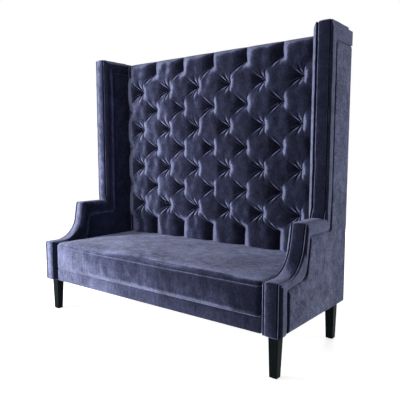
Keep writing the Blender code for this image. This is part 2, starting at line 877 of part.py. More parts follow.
def webbing(front, back):
    """Straps over the front and rear seat rails, above the cross rail."""
    low = RAIL_TOP + FIT
    pitch = 2 * INNER_FACE / WEBBING_STRAPS
    for number in range(WEBBING_STRAPS):
        centre = pitch * (number + 0.5) - INNER_FACE
        box(
            f"webbing_strap_{number + 1}",
            (centre - WEBBING_WIDTH / 2, front, low),
            (centre + WEBBING_WIDTH / 2, back, low + WEBBING_THICKNESS),
            WEBBING_CLOTH,
            edge=0,
        )


def back_frame():
    """Tufting board with its rails and stud, and the outside back that covers them."""
    long = TIMBER_INNER - FIT
    board_front = PAD_BACK + FIT
    board_back = board_front + BACK_BOARD
    rail_front = board_back + FIT
    foot = SEAT_SPLIT + FIT
    top = BACK_HEIGHT - BACK_LIP - FIT
    rail_low = foot + BACK_RAIL_HEIGHT
    rail_high = top - BACK_RAIL_HEIGHT
    box("tufting_board", (-long, board_front, foot), (long, board_back, top), BOARD)
    box(
        "back_bottom_rail",
        (-long, rail_front, foot),
        (long, REAR_POST_BACK, rail_low),
        TIMBER,
    )
    box(
        "back_top_rail",
        (-long, rail_front, rail_high),
        (long, REAR_POST_BACK, top),
        TIMBER,
    )
    half = STUD_WIDTH / 2
    box(
        "back_stud",
        (-half, rail_front, rail_low + FIT),
        (half, REAR_POST_BACK, rail_high - FIT),
        TIMBER,
    )
    reach = TIMBER_OUTER
    box(
        "outside_back",
        (-reach, REAR_POST_BACK + FIT, BASE_HEIGHT),
        (reach, REAR, BACK_HEIGHT),
        VELVET,
        edge=BORDER_EDGE,
    )


def rail_cover():
    """The padded cover on the face of the front seat rail."""
    short = INNER_FACE - FIT
    front = FRONT + RAIL_COVER_FRONT
    box(
        "rail_cover",
        (-short, front, BASE_HEIGHT),
        (short, front + RAIL_COVER, SEAT_SPLIT - FIT),
        VELVET,
        edge=BORDER_EDGE,
    )


# Legs


def polygon_prism(x, y, low, high, radius, sides):
    """A round bar as a prism with flat facets."""
    bm = bmesh.new()
    rings = []
    for z in (low, high):
        rings.append(
            [
                (
                    x + radius * math.cos(2 * math.pi * i / sides),
                    y + radius * math.sin(2 * math.pi * i / sides),
                    z,
                )
                for i in range(sides)
            ]
        )
    loft(bm, rings, closed_ring=True)
    return bm


def leg(side, place, base):
    """A tapered leg with its steel plate, its hanger bolt and the glide under its foot."""
    tag = f"{place}_{side_name(side)}"
    direction = 1 if place == "front" else -1
    if place == "front":
        face = FRONT + LEG_SET_BACK
    else:
        face = REAR - LEG_REAR_INSET
    x = side * (OUTER_FACE - LEG_SIDE_INSET)
    top = BASE_HEIGHT - FIT
    foot = GLIDE_HEIGHT + FIT
    top_centre = face + direction * LEG_TOP_DEPTH / 2
    foot_centre = face + direction * (LEG_FACE_SLOPE + LEG_FOOT_DEPTH / 2)
    levels = (
        (foot, foot_centre, LEG_FOOT_WIDTH, LEG_FOOT_DEPTH),
        (top, top_centre, LEG_TOP_WIDTH, LEG_TOP_DEPTH),
    )
    rings = []
    for z, centre, width, depth in levels:
        rings.append(
            [
                (x + width / 2 * sx, centre + depth / 2 * sy, z)
                for sx, sy in ((-1, -1), (1, -1), (1, 1), (-1, 1))
            ]
        )
    bm = bmesh.new()
    loft(bm, rings, closed_ring=True)
    bmesh.ops.bevel(bm, geom=list(bm.edges), offset=LEG_EDGE, segments=1, affect="EDGES")
    body = add_mesh(f"leg_{tag}", bm, LEG_WOOD, smooth=False, splay=False)

    plate_low = top + FIT
    plate_high = plate_low + PLATE_THICKNESS - FIT
    plate_half = PLATE_SIZE / 2
    plate = box(
        f"leg_plate_{tag}",
        (x - plate_half, top_centre - plate_half, plate_low),
        (x + plate_half, top_centre + plate_half, plate_high),
        STEEL,
        edge=0,
        splay=False,
    )
    bolt_low = top - BOLT_IN_LEG
    bolt_high = bolt_low + BOLT_LENGTH
    bolt = polygon_prism(x, top_centre, bolt_low, bolt_high, BOLT_RADIUS, BOLT_SIDES)
    add_mesh(f"leg_bolt_{tag}", bolt, STEEL, splay=False)
    for target, label in ((body, "leg"), (plate, "plate"), (base, "base")):
        bore = polygon_prism(
            x, top_centre, bolt_low - FIT, bolt_high + FIT, BOLT_RADIUS + FIT, BOLT_SIDES
        )
        cut(target, f"bore_{label}_{tag}", bore)
    glide = polygon_prism(x, foot_centre, 0, GLIDE_HEIGHT, GLIDE_RADIUS, GLIDE_SIDES)
    add_mesh(f"glide_{tag}", glide, GLIDE_PLASTIC, splay=False)


def build():
    clear_scene()
    for side in (-1, 1):
        border(side)
        side_panels(side)
        wing_cap(side)
        base = side_timbers(side)
        leg(side, "front", base)
        leg(side, "rear", base)
    seat_frame()
    back_frame()
    rail_cover()
    seat_cushion()
    back_pad()


build()
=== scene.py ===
"""Looks of a deep-tufted high-back wing settee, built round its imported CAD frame."""

import json
import math

import bmesh
import bpy
import numpy as np
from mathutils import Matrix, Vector
from mathutils.kdtree import KDTree


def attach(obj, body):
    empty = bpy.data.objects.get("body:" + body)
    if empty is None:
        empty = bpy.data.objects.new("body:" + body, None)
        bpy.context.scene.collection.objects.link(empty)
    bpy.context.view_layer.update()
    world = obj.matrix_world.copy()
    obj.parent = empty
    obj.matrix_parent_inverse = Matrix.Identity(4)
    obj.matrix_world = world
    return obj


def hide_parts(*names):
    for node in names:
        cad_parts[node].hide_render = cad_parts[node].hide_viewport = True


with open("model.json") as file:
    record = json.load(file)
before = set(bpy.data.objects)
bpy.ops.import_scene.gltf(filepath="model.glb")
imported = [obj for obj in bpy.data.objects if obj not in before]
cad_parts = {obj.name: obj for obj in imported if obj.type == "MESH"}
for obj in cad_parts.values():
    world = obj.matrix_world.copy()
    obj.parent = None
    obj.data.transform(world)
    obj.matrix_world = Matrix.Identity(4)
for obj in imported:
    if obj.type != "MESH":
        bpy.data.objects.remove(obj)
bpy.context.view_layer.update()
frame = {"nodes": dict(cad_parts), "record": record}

SCENE = bpy.context.scene
SIDES = {-1: "left", 1: "right"}

# Sizes of the frame, in metres, as the CAD solids hold them
BASE_HEIGHT = 0.2094
SIDE_HEIGHT = 1.718
DEPTH = 0.762
SPLAY = 0.008
STRIP_CROWN = 0.004
POST_HEIGHT = 0.4645
ARM_HEIGHT = 0.7105
ARM_FRONT = 0.260
ARM_LEAN = math.radians(10.0)
WING_FRONT = 0.467
INNER_FACE = 0.7865
OUTER_FACE = 0.893
MIDDLE = (INNER_FACE + OUTER_FACE) / 2
PADDING = 0.020
EDGE_PADDING = 0.016
INNER_STEP = 0.002
OUTER_STEP = 0.004
BORDER_LENGTH = 0.683
PAD_DEPTH = 0.700
OUTSIDE_BACK = 0.0133
FRONT = STRIP_CROWN - DEPTH / 2
REAR = DEPTH / 2
BORDER_END = FRONT + BORDER_LENGTH
PAD_BACK = FRONT + PAD_DEPTH
REAR_POST_BACK = REAR - OUTSIDE_BACK
CAP_HEIGHT = 1.7135
BACK_HEIGHT = 1.702
SEAT_SPLIT = 0.2875
SEAT_HEIGHT = 0.461
RAIL_FRONT = FRONT + 0.016
RAIL_DEPTH = 0.0137
FIT = 0.0003
# Edges that turn by more than this are drawn sharp
SHARP_ANGLES = {name: math.radians(turn) for name, turn in (("panel", 50), ("border", 62), ("cap", 55), ("back", 75))}


# Small tools


def clamp(values):
    return np.clip(values, 0, 1)


def falloff(values, power=2):
    """A bell: 1 at zero, falling off to both sides."""
    return np.exp(-np.abs(values) ** power)


def soft_step(values):
    """Rises smoothly from 0 to 1 as the values pass zero."""
    return 0.5 + 0.5 * np.tanh(values)


def quarter(steps):
    return np.radians(90) * np.arange(steps + 1) / steps


def rounded_in(depth, radius):
    """How far a rounded edge draws in at a depth from its end."""
    left = max(radius - depth, 0.0)
    return radius - math.sqrt(radius * radius - left * left)


def unit(vectors):
    return vectors / np.linalg.norm(vectors, axis=1)[:, None]


def splayed(points):
    """The upholstered body flares outwards in step with its height."""
    moved = np.array(points, dtype=float)
    rise = (moved[:, 2] - BASE_HEIGHT) / (SIDE_HEIGHT - BASE_HEIGHT)
    moved[:, 0] *= 1 + SPLAY / OUTER_FACE * rise
    return moved


class Waves:
    """A smooth, seeded unevenness: the sum of a few plane waves."""

    def __init__(self, seed, shortest, longest, count=14):
        rng = np.random.default_rng(seed)
        directions = unit(rng.normal(size=(count, 3)))
        lengths = np.exp(rng.uniform(math.log(shortest), math.log(longest), count))
        self.vectors = directions * (2 * math.pi / lengths)[:, None]
        self.phases = rng.uniform(0, 2 * math.pi, count)
        self.scale = math.sqrt(2 / count)

    def __call__(self, points):
        total = np.zeros(len(points))
        for vector, phase in zip(self.vectors, self.phases):
            total += np.sin(points @ vector + phase)
        return total * self.scale


def add_object(name, data):
    obj = bpy.data.objects.new(name, data)
    SCENE.collection.objects.link(obj)
    return obj


def skinned(name, mesh, bm, material):
    """An object of a bmesh, shaded smooth and with its faces turned outwards."""
    bmesh.ops.recalc_face_normals(bm, faces=bm.faces)
    bm.to_mesh(mesh)
    bm.free()
    mesh.shade_smooth()
    mesh.materials.append(material)
    return add_object(name, mesh)


def make_object(name, points, faces, material):
    mesh = bpy.data.meshes.new(name)
    mesh.from_pydata([tuple(p) for p in points], [], faces)
    mesh.update()
    bm = bmesh.new()
    bm.from_mesh(mesh)
    return skinned(name, mesh, bm, material)


def read_points(mesh, values="co"):
    points = np.empty(len(mesh.vertices) * 3)
    mesh.vertices.foreach_get(values, points)
    return points.reshape(-1, 3)


def set_points(obj, points):
    obj.data.vertices.foreach_set("co", points.reshape(-1))
    obj.data.update()


def grid_faces(rows, columns, wrap=False):
    faces = []
    for base in range(0, (rows - 1) * columns, columns):
        for j in range(columns if wrap else columns - 1):
            k = (j + 1) % columns
            faces.append((base + j, base + k, base + columns + k, base + columns + j))
    return faces


def tube_faces(rows, columns):
    """Faces of a tube of rings, closed at both ends."""
    ends = [tuple(range(start, start + columns)) for start in (0, (rows - 1) * columns)]
    return grid_faces(rows, columns, wrap=True) + ends


def settle(piece, node):
    """Says what a piece rides on, and hides the CAD part that it stands for."""
    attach(piece, "root")
    if node:
        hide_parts(node)
    return piece


# Materials

# Colour of the pile by how far a surface turns from the eye: its own dark navy face on, and a painted sheen of pale
# lavender at a slant
PILE_AND_SHEEN = (
    (0.00, (0.0142, 0.0158, 0.0352)),
    (0.15, (0.0168, 0.0188, 0.0415)),
    (0.25, (0.0360, 0.0398, 0.0790)),
    (0.34, (0.0730, 0.0805, 0.1530)),
    (0.42, (0.1690, 0.1870, 0.3170)),
    (0.50, (0.2180, 0.2390, 0.3880)),
    (0.62, (0.2180, 0.2390, 0.3880)),
    (0.80, (0.2400, 0.2620, 0.4150)),
    (1.00, (0.3600, 0.3900, 0.5600)),
)
# Painted light: the outer panels and the outer back get a lighter copy of the pile colours face on
LIT_OUTER_PILE_AND_SHEEN = (
    (0.00, (0.0290, 0.0320, 0.0640)),
    (0.15, (0.0300, 0.0330, 0.0660)),
    (0.25, (0.0420, 0.0462, 0.0890)),
    *PILE_AND_SHEEN[3:],
)
# Painted shade: a darker copy of the pile colours for the cloth round the outer edge of a border and down in the
# grooves ahead of the outer panels
SHADED_PILE_AND_SHEEN = (
    (0.00, (0.0120, 0.0134, 0.0300)),
    (0.30, (0.0130, 0.0145, 0.0320)),
    (0.45, (0.0160, 0.0178, 0.0380)),
    (0.60, (0.0200, 0.0220, 0.0450)),
    (0.80, (0.0240, 0.0265, 0.0530)),
    (1.00, (0.0380, 0.0420, 0.0800)),
)
# The tufted back gets a darker copy of the pile colours: painted shade face on and at the steepest slant
SHADED_TUFTED_PILE_AND_SHEEN = (
    (0.00, (0.0085, 0.0093, 0.0200)),
    (0.03, (0.0100, 0.0108, 0.0235)),
    (0.09, (0.0165, 0.0182, 0.0385)),
    (0.25, (0.0320, 0.0354, 0.0705)),
    (0.34, (0.0690, 0.0761, 0.1450)),
    *PILE_AND_SHEEN[4:7],
    (0.80, (0.1950, 0.2140, 0.3500)),
    (1.00, (0.1500, 0.1640, 0.2800)),
)
# Noise textures: scale, detail, roughness, distortion
STROKES = (100.0, 3.0, 0.62, 0.5)
FLAT_STROKES = (95.0, 3.0, 0.62, 0.4)
PATCHES = (5.0, 3.0, 0.6, 0.8)
BLOTCHES = (22.0, 4.0, 0.6, 0.7)
GRAIN = (95.0, 4.0, 0.72)
FIBRES = (1500.0, 2.0, 0.7)
EDGE_PATCHES = (30.0, 3.0, 0.6, 0.8)
EDGE_PATCH_STRETCH = (0.45, 1.0, 1.0)
SITTING_MARKS = 0.6
# Bumps: strength, distance
GRAIN_BUMP = (0.12, 0.0012)
FIBRE_BUMP = (0.2, 0.0005)
VELVET_SURFACE = {
    "Roughness": 0.8,
    "Specular IOR Level": 0.03,
    "Sheen Roughness": 0.40,
    "Sheen Tint": (0.62, 0.64, 0.90, 1.0),
}
WHITE = (1.0, 1.0, 1.0, 1.0)


class Graph:
    """Short ways to add nodes. A value is a number, a colour or another node's socket."""

    def __init__(self, owner, end="Principled BSDF"):
        owner.use_nodes = True
        self.owner, self.tree = owner, owner.node_tree
        self.end = self.tree.nodes[end]

    def fill(self, node, inputs):
        for name, value in inputs.items():
            if isinstance(value, bpy.types.NodeSocket):
                self.tree.links.new(value, node.inputs[name])
            else:
                node.inputs[name].default_value = value

    def close(self, inputs):
        self.fill(self.end, inputs)
        return self.owner

    def add(self, kind, inputs, output=0, **settings):
        node = self.tree.nodes.new(f"ShaderNode{kind}")
        for name, value in settings.items():
            setattr(node, name, value)
        self.fill(node, inputs)
        return node.outputs[output]

    def place(self, scale=(1.0, 1.0, 1.0)):
        """Object coordinates scaled apart along each axis, so that a pattern runs one way."""
        return self.add("Mapping", {"Vector": self.add("TexCoord", {}, "Object"), "Scale": scale})

    def noise(self, vector, texture):
        names = ("Scale", "Detail", "Roughness", "Distortion")
        return self.add("TexNoise", {"Vector": vector, **dict(zip(names, texture))})

    def ramp(self, factor, stops):
        node = self.tree.nodes.new("ShaderNodeValToRGB")
        elements = node.color_ramp.elements
        while len(elements) < len(stops):
            elements.new(0.5)
        for element, (position, colour) in zip(elements, stops):
            element.position = position
            element.color = (*colour, 1.0)
        self.fill(node, {"Fac": factor})
        return node.outputs[0]

    def maths(self, operation, first, second):
        return self.add("Math", {0: first, 1: second}, operation=operation)

    def product(self, first, second):
        return self.maths("MULTIPLY", first, second)

    def total(self, first, *others):
        for value in others:
            first = self.maths("ADD", first, value)
        return first

    def bump(self, height, strength, distance, below=None):
        inputs = {"Height": height, "Strength": strength, "Distance": distance}
        if below is not None:
            inputs["Normal"] = below
        return self.add("Bump", inputs)

    def eased(self, value, *limits):
        """A value taken smoothly from one range (low, high) to another (start, end)."""
        names = ("From Min", "From Max", "To Min", "To Max")
        inputs = {"Value": value, **dict(zip(names, limits))}
        return self.add("MapRange", inputs, interpolation_type="SMOOTHSTEP")

    def seen_by_eye(self):
        """1 for rays from the camera, in mirrors and through glass, so that they meet the pale backdrop."""
        names = ("Is Camera Ray", "Is Glossy Ray", "Is Transmission Ray")
        rays = self.tree.nodes.new("ShaderNodeLightPath").outputs
        return self.maths("MINIMUM", self.total(*(rays[name] for name in names)), 1.0)


def velvet(
    name, colours=PILE_AND_SHEEN, upright=(1.0, 1.0, 0.3), level=None, marks=0.25, depth=4.0,
    lay=(0.20, 0.24, 0.18, 0.38), sheen=0.25, lighter_edge=None,
):
    """Deep-pile velvet: its own dark colour face on and a painted sheen, pale at a slant, with strokes where the pile
    lies another way.

    upright and level stretch the strokes on walls and on top. lay weighs patches, blotches, strokes and
    grain, which turn the pile by marks and shade it by depth. The last argument is an edge, a reach and a gain, along
    which the pile is made lighter.
    """
    graph = Graph(bpy.data.materials.new(name))
    plain = graph.place()
    strokes = graph.noise(graph.place(upright), STROKES)
    if level is not None:
        rise = graph.add("SeparateXYZ", {0: graph.add("NewGeometry", {}, "Normal")}, "Z")
        up = graph.product(rise, rise)
        apart = graph.maths("SUBTRACT", graph.noise(graph.place(level), FLAT_STROKES), strokes)
        strokes = graph.total(strokes, graph.product(apart, up))
    grain = graph.noise(plain, GRAIN)
    textures = (graph.noise(plain, PATCHES), graph.noise(plain, BLOTCHES), strokes, grain)
    off = graph.maths("SUBTRACT", graph.total(*map(graph.product, textures, lay)), 0.5)
    if level is not None:
        # Sitting leaves stronger marks where the cloth faces up
        off = graph.product(off, graph.total(graph.product(up, SITTING_MARKS), 1.0))
    surface = graph.bump(graph.noise(plain, FIBRES), *FIBRE_BUMP, graph.bump(grain, *GRAIN_BUMP))
    # Painted sheen: the base colour is read off the pile ramp by how far the surface turns from the eye
    slant = graph.add("LayerWeight", {"Blend": 0.5, "Normal": surface}, "Facing")
    turned = graph.total(slant, graph.product(off, marks))
    tone = graph.total(graph.product(off, depth), 1.0)
    if lighter_edge is not None:
        # The pile is made lighter along an edge where it faces up, in uneven patches
        edge, reach, gain = lighter_edge
        near = graph.eased(graph.add("SeparateXYZ", {0: plain}, "Y"), edge, edge + reach, gain, 0.0)
        patchy = graph.noise(graph.place(EDGE_PATCH_STRETCH), EDGE_PATCHES)
        tone = graph.total(tone, graph.product(graph.product(near, up), patchy))
    colour = graph.add("VectorMath", {0: graph.ramp(turned, colours), "Scale": tone}, operation="SCALE")
    return graph.close({**VELVET_SURFACE, "Base Color": colour, "Sheen Weight": sheen, "Normal": surface})


def grained(name, stretch, texture, colours, roughness, relief=None, more=None):
    """A finish whose colour, and where asked its roughness and its relief, follow one grain."""
    graph = Graph(bpy.data.materials.new(name))
    grain = graph.noise(graph.place(stretch), texture)
    inputs = {"Base Color": graph.ramp(grain, colours), **(more or {})}
    inputs["Roughness"] = graph.ramp(grain, roughness) if isinstance(roughness, tuple) else roughness
    if relief is not None:
        inputs["Normal"] = graph.bump(grain, *relief)
    return graph.close(inputs)


def woven(name, light, dark, pitch, roughness):
    """Plain weave: two sets of threads that pass over and under each other."""
    graph = Graph(bpy.data.materials.new(name))
    inputs = {"Scale": WAVE_PITCH / pitch, "Distortion": 0.4, "Vector": graph.place()}
    waves = [graph.add("TexWave", inputs, "Fac", bands_direction=axis) for axis in "XY"]
    weave = graph.product(*waves)
    colour = graph.ramp(weave, ((0.0, dark), (0.6, light)))
    return graph.close({"Base Color": colour, "Roughness": roughness, "Normal": graph.bump(weave, 0.6, 0.0008)})


def grey(level):
    return (level, level, level)


EVEN = (1.0, 1.0, 1.0)
# Pitch of a wave texture at scale 1
WAVE_PITCH = 0.314
TIMBER_GRAIN = (60.0, 6.0, 0.6, 1.2)
TIMBER_RELIEF = (0.3, 0.0008)
VELVET = velvet("velvet_side_cloth")
# Painted light: velvet for the outer panels and the outer back, lighter face on than the rest
VELVET_OUTER_LIT = velvet("velvet_outer_lit_cloth", LIT_OUTER_PILE_AND_SHEEN, marks=0.34, depth=6.4)
# Painted shade: darker velvet for the borders' outer edges and the outer panels' grooves
VELVET_SHADE = velvet("velvet_painted_shade_cloth", SHADED_PILE_AND_SHEEN, sheen=0.05)
VELVET_SEAT = velvet(
    "velvet_seat_cloth", upright=(1.0, 1.0, 0.14), level=(0.25, 1.0, 1.0), marks=0.20, depth=4.6,
    lay=(0.28, 0.16, 0.26, 0.30), lighter_edge=(FRONT, 0.085, 0.60),
)
# Painted shade: the back's velvet is darker face on and at the steepest slant
VELVET_BACK_SHADED = velvet("velvet_back_shaded_cloth", SHADED_TUFTED_PILE_AND_SHEEN, upright=(1.0, 1.0, 0.45), sheen=0.18)
THREAD_COLOURS = ((0.3, (0.040, 0.043, 0.085)), (0.7, (0.072, 0.077, 0.145)))
THREAD = grained("seam_thread", EVEN, (900.0, 2.0), THREAD_COLOURS, 0.45)
FINISHES = {
    "leg_wood": grained(
        "leg_black_wood", (1.0, 1.0, 0.06), (260.0, 5.0, 0.7),
        ((0.35, (0.0022, 0.0042, 0.0055)), (0.7, (0.0062, 0.0110, 0.0145))),
        ((0.3, grey(0.30)), (0.75, grey(0.48))), (0.25, 0.0006), {"Specular IOR Level": 0.035},
    ),
    "frame_timber": grained(
        "pine_timber", (1.0, 1.0, 0.12), TIMBER_GRAIN,
        ((0.3, (0.42, 0.27, 0.14)), (0.7, (0.62, 0.45, 0.27))), 0.7, TIMBER_RELIEF,
    ),
    "plywood": grained(
        "plywood_board", (0.10, 1.0, 1.0), TIMBER_GRAIN,
        ((0.3, (0.50, 0.35, 0.19)), (0.7, (0.66, 0.50, 0.31))), 0.7, TIMBER_RELIEF,
    ),
    "zinc_steel": grained(
        "zinc_plate", EVEN, (180.0, 3.0), ((0.3, (0.42, 0.43, 0.45)), (0.7, (0.62, 0.63, 0.65))),
        ((0.2, grey(0.3)), (0.8, grey(0.5))), more={"Metallic": 1.0},
    ),
    "glide_plastic": grained("glide_moulding", EVEN, (900.0, 2.0), ((0.3, grey(0.012)), (0.7, grey(0.03))), 0.5),
    "webbing": woven("jute_webbing", (0.36, 0.28, 0.17), (0.16, 0.11, 0.06), 0.003, 0.9),
    "dust_cloth": woven("dust_sheet_cloth", (0.022, 0.022, 0.024), (0.006, 0.006, 0.007), 0.0015, 0.95),
}
EASED_EDGE = 0.0012
EASED_ANGLE = math.radians(28)


def dress_frame():
    """Every CAD solid that still shows gets the finish of its slot, and the legs get eased edges."""
    for entry in frame["record"]["subparts"]:
        finish = FINISHES.get(entry["material_slot"])
        if finish is None:
            continue
        obj = frame["nodes"][entry["node"]]
        obj.data.materials.clear()
        obj.data.materials.append(finish)
        if entry["node"].startswith(("leg_front", "leg_rear")):
            ease = obj.modifiers.new("eased_edges", "BEVEL")
            ease.width = EASED_EDGE
            ease.segments = 3
            ease.limit_method = "ANGLE"
            ease.angle_limit = EASED_ANGLE


# Side outline

CONTOUR_RADII = (0.008, 0.165, 0.012, 0.005, 0.008)
HOLLOW_CORNERS = (False, True, False, True, False)
SHARPEST = 0.0012
GROOVE_SLANT = math.radians(6.8)
POST_BAND = 0.086
TOP_BAND = 0.084
# Grooves: how far inside the contour's six edges each runs, and its corner radii.
# The inner one runs lower under the arm, round a wider corner
OUTER_GROOVE = np.array((POST_BAND, 0.0465, 0.055, 0.068, 0.074, TOP_BAND)), (0.014, 0.045, 0.014, 0.014, 0.014)
INNER_GROOVE = np.array((POST_BAND, 0.0465, 0.062, 0.090, 0.074, TOP_BAND)), (0.014, 0.045, 0.045, 0.014, 0.014)
SPAN_STEPS = (26, 8, 10, 16, 74, 18)
CORNER_STEPS = (6, 26, 7, 6, 7)


def crossing(first, second):
    """Where two lines meet, each given as a point and a direction."""
    (y0, z0), (dy0, dz0) = first
    (y1, z1), (dy1, dz1) = second
    along = ((y1 - y0) * dz1 - (z1 - z0) * dy1) / (dy0 * dz1 - dz0 * dy1)
    return (y0 + along * dy0, z0 + along * dz0)


def fillet(before, corner, after, radius, steps):
    """Points of an arc that rounds a corner."""
    ways = ((before, corner), (corner, after))
    heading, leaving = (math.atan2(b[1] - a[1], b[0] - a[0]) for a, b in ways)
    turn = (leaving - heading + math.pi) % (2 * math.pi) - math.pi
    reach = radius * math.tan(abs(turn) / 2)
    bend = math.copysign(radius, turn)
    centre_y = corner[0] - reach * math.cos(heading) - bend * math.sin(heading)
    centre_z = corner[1] - reach * math.sin(heading) + bend * math.cos(heading)
    headings = heading + turn * np.arange(steps + 1) / steps
    return np.column_stack((centre_y + bend * np.sin(headings), centre_z - bend * np.cos(headings)))


def outline(share, drop, low, end, groove=OUTER_GROOVE):
    """The side's edge line, from its contour (share 0) to the groove (share 1), then moved in evenly."""
    insets, groove_radii = groove
    post, post_top, arm_front, arm_top, wing_front, wing_top = share * insets + drop
    slant = GROOVE_SLANT * share
    arm_y = FRONT + ARM_FRONT + arm_front * math.cos(ARM_LEAN)
    arm_z = ARM_HEIGHT - arm_front * math.sin(ARM_LEAN)
    lines = [
        ((FRONT + post, low), (0, 1)),
        ((FRONT + post, POST_HEIGHT - post_top), (math.cos(slant), math.sin(slant))),
        ((arm_y, arm_z), (math.sin(ARM_LEAN), math.cos(ARM_LEAN))),
        ((FRONT, ARM_HEIGHT - arm_top), (1, 0)),
        ((FRONT + WING_FRONT + wing_front, low), (0, 1)),
        ((FRONT, SIDE_HEIGHT - wing_top), (1, 0)),
    ]
    stations = [lines[0][0], *map(crossing, lines, lines[1:]), (end, SIDE_HEIGHT - wing_top)]
    pieces = []
    last = stations[0]
    for i, steps in enumerate(CORNER_STEPS):
        radius = CONTOUR_RADII[i] + (groove_radii[i] - CONTOUR_RADII[i]) * share
        radius = max(radius + drop if HOLLOW_CORNERS[i] else radius - drop, SHARPEST)
        arc = fillet(*stations[i : i + 3], radius, steps)
        pieces += [np.linspace(last, arc[0], SPAN_STEPS[i], endpoint=False), arc[:-1]]
        last = arc[-1]
    return np.concatenate((*pieces, np.linspace(last, stations[-1], SPAN_STEPS[-1] + 1)))


# Borders

INNER_SEAM = 0.0215
OUTER_SEAM = 0.0145
LEFT_SEAM = INNER_FACE + INNER_SEAM
RIGHT_SEAM = OUTER_FACE - OUTER_SEAM
STRIP_SWELL = 0.0047
STRIP_POWER = 2.4
STRIP_STEPS = 14
# On the wing the strip is flatter than on the post and the arm, and its seams lie further out
WING_SWELL = 0.80
INNER_SHIFT = 0.0110
OUTER_SHIFT = 0.0095
SHIFT_START = 0.715
SHIFT_RUN = 0.06
# How the inner and the outer band roll down into their grooves, and more so inside under the arm
INNER_ROLL = 0.0036
INNER_ROLL_SHARE = 0.65
ARM_ROLL = 0.0065
ARM_ROLL_REACH = 0.013
LEVEL_POWER = 6
OUTER_ROLL = 0.0165
OUTER_ROLL_POWER = 3.4
# The roundings beside the strip: squareness, share of the band that they take up, and their last point
INNER_SQUARE = 1.7
OUTER_SQUARE = 0.5
INNER_BEND = 0.26
OUTER_BEND = 0.45
INNER_LIP = 0.0068
OUTER_LIP = 0.0048
ROUNDING_STEPS = (11, 16)
BAND_STEPS = (20, 18)
BAND_CROWDING = 1.6
HEM_WIDTH = 0.0085
HEM_DIP = 0.0009
SHADE_SHARE = 0.44
SHADE_UPRIGHT = 0.93
# The rings of a border's foot, where the cloth turns under
FOOT_ROUNDING = 0.009
FOOT_RINGS = (0.0, 0.0006, 0.0018, 0.0035, 0.0058, FOOT_ROUNDING)
FOOT_SPREAD = 6
FOOT_LEAST = 0.15
BORDER_WAVE = (0.00045, 0.04, 0.22)
# Sections of the two seams, from the lip of the rounding beside the strip, through the slit, onto the strip
INNER_SLIT = (
    (-INNER_LIP, 0.0), (-0.0062, 0.0004), (-0.0050, 0.0022), (-0.0036, 0.0050), (-0.0022, 0.0080),
    (0.0004, 0.0080), (0.0010, 0.0040), (0.0017, 0.0017), (0.0029, 0.0006), (0.0044, 0.0000),
    (0.0062, -0.0003),
)
OUTER_SLIT = (
    (-OUTER_LIP, 0.0), (-0.0040, 0.0004), (-0.0026, 0.0018), (-0.0012, 0.0038), (-0.0002, 0.0050),
    (0.0004, 0.0048), (0.0012, 0.0040), (0.0030, 0.0018), (0.0044, 0.0004), (0.0058, -0.0006),
    (HEM_WIDTH - HEM_DIP, -0.0007), (HEM_WIDTH, -0.0001), (HEM_WIDTH + HEM_DIP, -0.0006),
)


def crown(x):
    """Rise of the strip between its seams, flat-topped."""
    across = (x - LEFT_SEAM) / (RIGHT_SEAM - LEFT_SEAM)
    return STRIP_SWELL * max(1 - abs(2 * across - 1) ** STRIP_POWER, 0.0)


def band(steps):
    """Steps across a band from its groove, close together where it rolls down into the groove."""
    return np.linspace(0, 1, steps)[:-1] ** BAND_CROWDING


def rounding(width, bend, power, steps):
    """A rounding beside the strip as (way in, share), from the band to the strip."""
    turns = quarter(steps)
    return [(width * (1 - math.cos(a) ** power), bend * (1 - math.sin(a) ** power)) for a in turns]


def seam_section(seam, way, slit):
    """The sewn line at one edge of the strip: a slit, and on the outer side a hem with a topstitched dip."""
    rows = [(seam + way * away, away, drop) for away, drop in slit]
    return [(x, 0.0, drop, crown(x) if away > 0.0 else 0.0) for x, away, drop in rows]


def border_section():
    """Section of the border as (x, share, drop, swell), from the inner groove round the front to the outer one."""
    section = []
    for t in band(BAND_STEPS[0]):
        across = INNER_ROLL * (1 + math.cos(math.pi * min(t / INNER_ROLL_SHARE, 1.0))) / 2
        section.append((INNER_FACE + across, 1.0 - (1.0 - INNER_BEND) * t, 0.0, 0.0))
    inner = rounding(INNER_SEAM - INNER_LIP, INNER_BEND, INNER_SQUARE, ROUNDING_STEPS[0])
    section += [(INNER_FACE + across, share, 0.0, 0.0) for across, share in inner[:-1]]
    section += seam_section(LEFT_SEAM, 1, INNER_SLIT)
    strip = np.linspace(LEFT_SEAM + 1.4 * HEM_WIDTH, RIGHT_SEAM - 1.6 * HEM_WIDTH, STRIP_STEPS)
    section += [(x, 0.0, 0.0, crown(x)) for x in strip]
    section += reversed(seam_section(RIGHT_SEAM, -1, OUTER_SLIT))
    outer = rounding(OUTER_SEAM - OUTER_LIP, OUTER_BEND, OUTER_SQUARE, ROUNDING_STEPS[1])
    section += [(OUTER_FACE - across, share, 0.0, 0.0) for across, share in outer[-2::-1]]
    for t in band(BAND_STEPS[1])[::-1]:
        across = OUTER_ROLL * (1 - t) ** OUTER_ROLL_POWER
        section.append((OUTER_FACE - across, 1.0 - (1.0 - OUTER_BEND) * t, 0.0, 0.0))
    outer_band, inner_band = OUTER_FACE - PADDING, INNER_FACE + PADDING
    return section + [
        (outer_band, 1.0, 0.0, 0.0),
        (outer_band, 0.0, EDGE_PADDING, 0.0),
        (inner_band, 0.0, EDGE_PADDING, 0.0),
        (inner_band, 1.0, 0.0, 0.0),
    ]


def wing_share(z):
    """0 on the post and the arm, 1 on the wing."""
    rise = clamp((z - SHIFT_START) / SHIFT_RUN)
    return rise * rise * (3 - 2 * rise)


